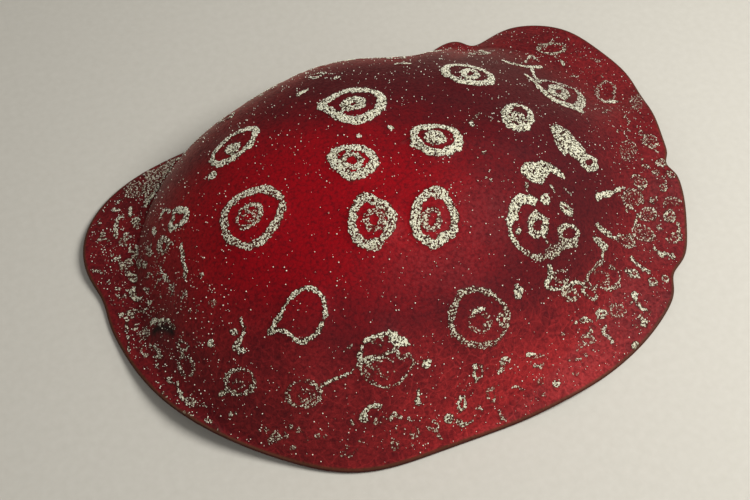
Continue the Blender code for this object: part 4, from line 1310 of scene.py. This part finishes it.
def skin_material():
    """Painted highlight on the crown and painted shade on the flanks, redder margin with painted shade in
    parts, paler lines, dark net, painted shadow in the hollow, marks and olive rim.
    """
    made, shades, shader, place = new_material("mantle_skin_finish")
    marked, full, crown, edge = [shades.attribute(name) for name in ("marked", "full", "crown", "edge")]
    mottle = shades.noise(place, *MOTTLE)
    fine = shades.noise(place, *FINE)
    # Painted highlight and shade: the crown is painted bright red and the flanks dark maroon, with random
    # mottle between
    highlight_share = shades.plus(crown, shades.times(shades.minus(mottle, 0.5), CROWN_MOTTLE))
    base = shades.blend(shades.ramp(highlight_share, *RAMPS["crown"]), PAINTED_SHADE_MAROON, PAINTED_HIGHLIGHT_RED)
    # Redder margin, its own tone, dulled in parts by painted shade carried in the edge share
    base = shades.blend(shades.times(edge, shades.ramp(mottle, *RAMPS["edge"])), base, EDGE_RED)
    pull = shades.moved("MULTIPLY", shades.noise(place, PULL_SCALE, output="Color"), PULL)
    lines = shades.ramp(shades.cells(shades.moved("ADD", place, pull), LINE_CELLS), *RAMPS["line"])
    base = shades.blend(shades.times(shades.times(lines, edge), LINE_STRENGTH), base, EDGE_LINE)
    net = shades.cells(place, NET_CELLS)
    base = shades.blend(shades.ramp(net, *RAMPS["net"]), base, VEIN_DARK)
    base = shades.blend(shades.ramp(fine, *RAMPS["vein"]), base, VEIN_DARK)
    # Painted shadow in the hollow's cleft
    base = shades.blend(shades.attribute("hollow_shadow"), base, HOLLOW_PAINTED_SHADOW)
    depth, close = mark_cover(shades, place, marked, full)
    pits = shades.times(shades.ramp(depth, *RAMPS["pit"]), shades.ramp(full, *RAMPS["full pit"]))
    base = shades.blend(pits, base, MARK_PIT)
    band = shades.times(shades.ramp(depth, *RAMPS["band"]), shades.ramp(close, *RAMPS["close"]))
    band = shades.times(band, shades.ramp(full, *RAMPS["full band"]))
    grain = shades.ramp(shades.noise(place, *GRAIN), *RAMPS["grain"])
    grain = shades.blend(grain, MARK_DIM, MARK_CREAM)
    base = shades.blend(band, base, grain)
    base = shades.blend(shades.ramp(shades.attribute("inset"), *RAMPS["rim"]), base, RIM_OLIVE)
    below = shades.blend(shades.ramp(mottle, *RAMPS["below"]), UNDER_ROSE, EDGE_RED)
    below = shades.blend(shades.attribute("brink"), below, RIM_DARK)
    shades.feed(shader["Base Color"], shades.blend(shades.attribute("upper"), below, base))
    shades.feed(shader["Roughness"], shades.ramp(fine, *RAMPS["roughness"]))
    height = shades.plus(shades.times(band, BAND_HEIGHT), shades.times(net, NET_HEIGHT))
    height = shades.plus(height, shades.times(fine, FINE_HEIGHT))
    shades.feed(shader["Normal"], shades.bump(height, *SKIN_BUMP))
    for name, value in SKIN_GLOSS.items():
        shader[name].default_value = value
    return made


def two_tone_material(name):
    """A material of two tones and two roughnesses, by a fine noise."""
    noise, limits, dark, light, roughness, bump = FINISHES[name]
    made, shades, shader, place = new_material(name)
    speck = shades.noise(place, *noise)
    shades.feed(shader["Base Color"], shades.blend(shades.ramp(speck, *limits), dark, light))
    shades.feed(shader["Roughness"], shades.ramp(speck, *FINISH_ROUGHNESS, *roughness))
    if bump:
        shades.feed(shader["Normal"], shades.bump(speck, *bump))
    return made


def new_tree(name, inputs):
    """A geometry tree with named number inputs, ways to its nodes, and its input and output nodes."""
    tree = bpy.data.node_groups.new(name, "GeometryNodeTree")
    tree.interface.new_socket("Geometry", in_out="INPUT", socket_type="NodeSocketGeometry")
    for label, value in inputs.items():
        socket = tree.interface.new_socket(label, in_out="INPUT", socket_type="NodeSocketFloat")
        socket.default_value = value
    tree.interface.new_socket("Geometry", in_out="OUTPUT", socket_type="NodeSocketGeometry")
    return tree, Shades(tree), tree.nodes.new("NodeGroupInput"), tree.nodes.new("NodeGroupOutput")


def end_tree(shades, result, instances, finish):
    """Makes a tree's instances real, gives them their material and sends them out."""
    real = shades.node("GeometryNodeRealizeInstances", {"Geometry": instances})
    finished = shades.node("GeometryNodeSetMaterial", {
        "Geometry": real.outputs["Geometry"], "Material": finish})
    shades.feed(result.inputs["Geometry"], finished.outputs["Geometry"])


def grown(name, source, tree, sizes):
    """A new plain mesh: what a geometry tree makes of a source object, with its inputs set by name."""
    modifier = source.modifiers.new("grow", "NODES")
    modifier.node_group = tree
    for item in tree.interface.items_tree:
        if item.in_out == "INPUT" and item.name in sizes:
            modifier[item.identifier] = sizes[item.name]
    mesh = evaluated_mesh(source)
    source.modifiers.remove(modifier)
    mesh.shade_smooth()
    return placed(name, mesh)


def strewn(random, spacing):
    """Places strewn evenly over the mantle's outline, with the share of the way out to the rim."""
    length, width = STREWN_BOX
    along = np.arange(-length, length, spacing)
    across = np.arange(-width, width, spacing * math.sqrt(3) / 2)
    y, x = np.meshgrid(across, along, indexing="ij")
    x = x + (np.arange(len(across)) % 2)[:, None] * spacing / 2
    x, y = np.stack([x.ravel(), y.ravel()]) + random.uniform(-JITTER, JITTER, (2, x.size)) * spacing
    bearing, reach = polar(x, y)
    share = reach / rim_reach(bearing)
    kept = share < STREWN_TO
    return x[kept], y[kept], share[kept]


def granule_points(name, points, depth, full, radius):
    """Loose points on the skin, each with what its granule is made by."""
    lifted = points + np.array([0, 0, 1]) * relief(depth)[:, None]
    made = mesh_object(name, lifted, [])
    made.name = name + "_points"
    for label, values in (("marked", depth), ("full", full), ("radius", radius)):
        store(made.data, label, values)
    return made


def ring_granules(marks):
    """Points for the granules of the marks, in a front and a rear lot."""
    random = np.random.default_rng(GRANULE_SEED)
    x, y, _ = strewn(random, GRANULE_SPACING)
    points = on_surface(x, y)
    depth, full = marking(points, marks)
    least, rise = GRANULE_SIZES
    radius = random.uniform(*GRANULE_RADII, len(x)) * (least + rise * full)
    for name, side in (("front_granules", x > DIVIDE), ("rear_granules", x <= DIVIDE)):
        kept = side & (depth > GRANULES_FROM)
        yield name, granule_points(name, points[kept], depth[kept], full[kept], radius[kept])


def speck_points(name):
    """Points for the single granules that are strewn over the mantle."""
    random = np.random.default_rng(GRANULE_SEED + 1)
    x, y, share = strewn(random, SPECK_SPACING)
    rear, edge = smooth_step(-x, *REAR_END), smooth_step(share, *SPECK_EDGE)
    chance = SPECKS_ON_BACK + SPECKS_AT_REAR * rear + SPECKS_AT_EDGE * edge
    kept = random.uniform(0, 1, len(x)) < chance
    x, y = x[kept], y[kept]
    radius = between(*SPECK_RADII, random.uniform(0, 1, len(x)) ** SPECK_RARITY)
    ones = np.ones(len(x))
    return granule_points(name, on_surface(x, y), ones * 2, ones, radius)


def granule_tree(finish, clumped):
    """Stands a small bead on each point that lies inside a mark's ragged outline and off its pits."""
    tree, shades, given, result = new_tree("granules", {"Bead size": 1.0, "Least depth": 0.0})
    place = shades.node("GeometryNodeInputPosition").outputs[0]
    marked, full, radius = [
        shades.node("GeometryNodeInputNamedAttribute", {"Name": label}, data_type="FLOAT").outputs[0]
        for label in ("marked", "full", "radius")]
    if clumped:
        depth, close = mark_cover(shades, place, marked, full)
        outside = shades.maths("LESS_THAN", depth, given.outputs["Least depth"])
        missing = shades.maths("MAXIMUM", outside, shades.maths("LESS_THAN", close, 0.0))
    else:
        missing = shades.maths("LESS_THAN", shades.noise(place, *BARE_PATCHES), BARE_PATCH)
    left = shades.node("GeometryNodeDeleteGeometry", {
        "Geometry": given.outputs["Geometry"], "Selection": missing}, domain="POINT")
    bead = shades.node("GeometryNodeMeshIcoSphere", {"Radius": 1.0, "Subdivisions": 1})
    stood = shades.node("GeometryNodeInstanceOnPoints", {
        "Points": left.outputs["Geometry"], "Instance": bead.outputs["Mesh"],
        "Scale": shades.times(radius, given.outputs["Bead size"])})
    end_tree(shades, result, stood.outputs["Instances"], finish)
    return tree


def granules(marks):
    """The granules of the marks and the single ones, as three pieces."""
    finish = two_tone_material("granule_cream")
    lots = [(name, points, True) for name, points in ring_granules(marks)]
    lots.append(("skin_specks", speck_points("skin_specks"), False))
    pieces = []
    for name, points, clumped in lots:
        pieces.append(grown(name, points, granule_tree(finish, clumped), {"Bead size": 1.0}))
        bpy.data.objects.remove(points, do_unlink=True)
    return pieces


def rachis_point(t):
    """Centre of the gill's stem, from its root in front to its free tip behind."""
    x = between(GILL_FRONT, GILL_REAR, t)
    out = between(GILL_FROM_WALL, GILL_TIP_FROM_WALL, t**GILL_CURVE)
    return Vector((x, wall(x)[0] - out, GILL_LEVEL)) + Vector(ROW_SHIFT)


def feather_object():
    """One feather of the gill, one unit long along +X: a tapering vane with pairs of short leaflets."""
    maker = bmesh.new()
    lift = Vector((0, 0, 1))

    def blade(start, end, radii):
        side = (end - start).normalized().cross(lift).normalized()
        rings = []
        for place, size in zip((start, end), radii):
            rings.append([maker.verts.new(place + side * size * a + lift * size * b)
                          for a, b in ((1, 0), (0, 1), (-1, 0), (0, -1))])
        first, last = rings
        for index in range(4):
            following = (index + 1) % 4
            maker.faces.new((first[index], first[following], last[following], last[index]))
        maker.faces.new(first[::-1])
        maker.faces.new(last)

    blade(Vector((0, 0, 0)), Vector((1, 0, 0)), VANE_RADII)
    nearest, spread = LEAFLET_PLACES
    for index in range(LEAFLETS):
        share = nearest + spread * index / (LEAFLETS - 1)
        start = Vector((share, 0, 0))
        length = LEAFLET_LENGTH * (1 - LEAFLET_TAPER * share)
        for side in (1, -1):
            run = Vector((LEAFLET_AHEAD, side, LEAFLET_LIFT)).normalized()
            blade(start, start + run * length, LEAFLET_RADII)
    bmesh.ops.recalc_face_normals(maker, faces=maker.faces)
    made = object_of(maker, "feather")
    made.data.shade_smooth()
    return made


def plume_tree(feather, finish):
    """A tapering stem along a path, with pairs of feathers that leave it outwards, up and down."""
    tree, shades, given, result = new_tree("plume", {
        "Root radius": RACHIS_ROOT_RADIUS,
        "Tip radius": RACHIS_TIP_RADIUS,
        "Feather length": FEATHER_LENGTH,
    })
    curve = shades.node("GeometryNodeMeshToCurve", {"Mesh": given.outputs["Geometry"]})
    line = shades.node("GeometryNodeResampleCurve", {
        "Curve": curve.outputs["Curve"], "Count": FEATHER_PAIRS})
    along = shades.node("GeometryNodeSplineParameter").outputs["Factor"]
    width = shades.node("ShaderNodeMapRange", {
        0: along, 3: given.outputs["Root radius"], 4: given.outputs["Tip radius"]})
    section = shades.node("GeometryNodeCurvePrimitiveCircle", {"Resolution": RACHIS_SIDES, "Radius": 1.0})
    stem = shades.node("GeometryNodeCurveToMesh", {
        "Curve": line.outputs["Curve"], "Profile Curve": section.outputs["Curve"],
        "Scale": width.outputs[0], "Fill Caps": True})
    pace, shift = FEATHER_WAVE
    rise, least = FEATHER_REACH
    reach = shades.maths("SINE", shades.plus(shades.times(along, pace), shift))
    reach = shades.plus(shades.times(reach, rise), least)
    source = shades.node("GeometryNodeObjectInfo", {"Object": feather})
    joined = shades.node("GeometryNodeJoinGeometry")
    shades.feed(joined.inputs["Geometry"], stem.outputs["Mesh"])

    def chance(seed, least, greatest):
        values = {"Seed": seed, 2: least, 3: greatest}
        return shades.node("FunctionNodeRandomValue", values, data_type="FLOAT").outputs[1]

    for side in (1, -1):
        size = shades.times(shades.times(reach, chance(GILL_SEED + side, *FEATHER_SIZES)),
                            given.outputs["Feather length"])
        swing = chance(GILL_SEED + 2 + side, -FEATHER_SWING, FEATHER_SWING)
        tilt = shades.plus(shades.times(swing, FEATHER_SWAY), -side * FEATHER_TILT)
        turn = shades.node("ShaderNodeCombineXYZ", {"Y": tilt, "Z": shades.plus(swing, -FEATHER_LEAN)})
        stood = shades.node("GeometryNodeInstanceOnPoints", {
            "Points": line.outputs["Curve"], "Instance": source.outputs["Geometry"],
            "Rotation": turn.outputs[0], "Scale": size})
        shades.feed(joined.inputs["Geometry"], stood.outputs["Instances"])
    end_tree(shades, result, joined.outputs["Geometry"], finish)
    return tree


def gill_plume():
    """The gill: stem and feathers."""
    path = bpy.data.meshes.new("rachis_path")
    places = [rachis_point(index / GILL_STEPS) for index in range(GILL_STEPS + 1)]
    path.from_pydata(places, [(index, index + 1) for index in range(GILL_STEPS)], [])
    source, feather = placed("rachis_path", path), feather_object()
    tree = plume_tree(feather, two_tone_material("gill_flesh"))
    made = grown("gill_plume", source, tree, {"Feather length": FEATHER_LENGTH})
    for helper in (source, feather):
        bpy.data.objects.remove(helper, do_unlink=True)
    return made


def aimed(made, place, target):
    """Stands a camera or a lamp at a place, looking at a target."""
    made.location = place
    made.rotation_euler = (target - Vector(place)).to_track_quat("-Z", "Y").to_euler()
    return made


def studio():
    """Camera, lights, sky and floor."""
    scene = bpy.context.scene
    lens = bpy.data.cameras.new("photo_camera")
    lens.lens = LENS
    lens.sensor_width = SENSOR
    scene.camera = aimed(placed("photo_camera", lens), VIEW_FROM, VIEW_TARGET)
    for name, (place, size, power, colour) in LIGHTS.items():
        lamp = bpy.data.lights.new(name, "AREA")
        lamp.shape = "DISK"
        lamp.size = size
        lamp.energy = power
        lamp.color = colour
        aimed(placed(name, lamp), place, LIGHT_TARGET)
    scene.view_settings.view_transform = "Standard"
    scene.world = bpy.data.worlds.new("studio_sky")
    scene.world.use_nodes = True
    sky = scene.world.node_tree.nodes["Background"].inputs
    sky["Color"].default_value = SKY_COLOUR
    sky["Strength"].default_value = SKY_STRENGTH
    maker = bmesh.new()
    bmesh.ops.create_grid(maker, x_segments=1, y_segments=1, size=FLOOR_SIZE)
    floor = object_of(maker, "floor")
    finish, shades, shader, place = new_material("floor_pale")
    shades.feed(shader["Base Color"], shades.blend(shades.noise(place, *FLOOR_GRAIN), *FLOOR_COLOURS))
    shader["Roughness"].default_value = FLOOR_ROUGHNESS
    floor.data.materials.append(finish)


def main():
    studio()
    marks = mark_paths()
    skin = mantle_form(marks)
    forms = [body_form(), foot_form(), head_form(), lips_form(), veil_form()]
    forms += [rhinophore_form(side) for side in (1, -1)]
    forms += [papilla_form(x) for x in PAPILLA_PLACES]
    join_forms(skin, forms)
    dress_points(skin, marks)
    sharpen(skin.data)
    skin.data.materials.clear()
    skin.data.materials.append(skin_material())
    beads = granules(marks)
    plume = gill_plume()
    eyes = ("eye_left", "eye_right")
    shine = two_tone_material("eye_shine")
    for name in eyes:
        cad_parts[name].data.materials.clear()
        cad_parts[name].data.materials.append(shine)
    for piece in [skin, plume] + beads:
        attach(piece, "root")
    flesh = [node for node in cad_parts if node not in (*eyes, "gill")]
    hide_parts(*flesh)
    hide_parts("gill")


main()
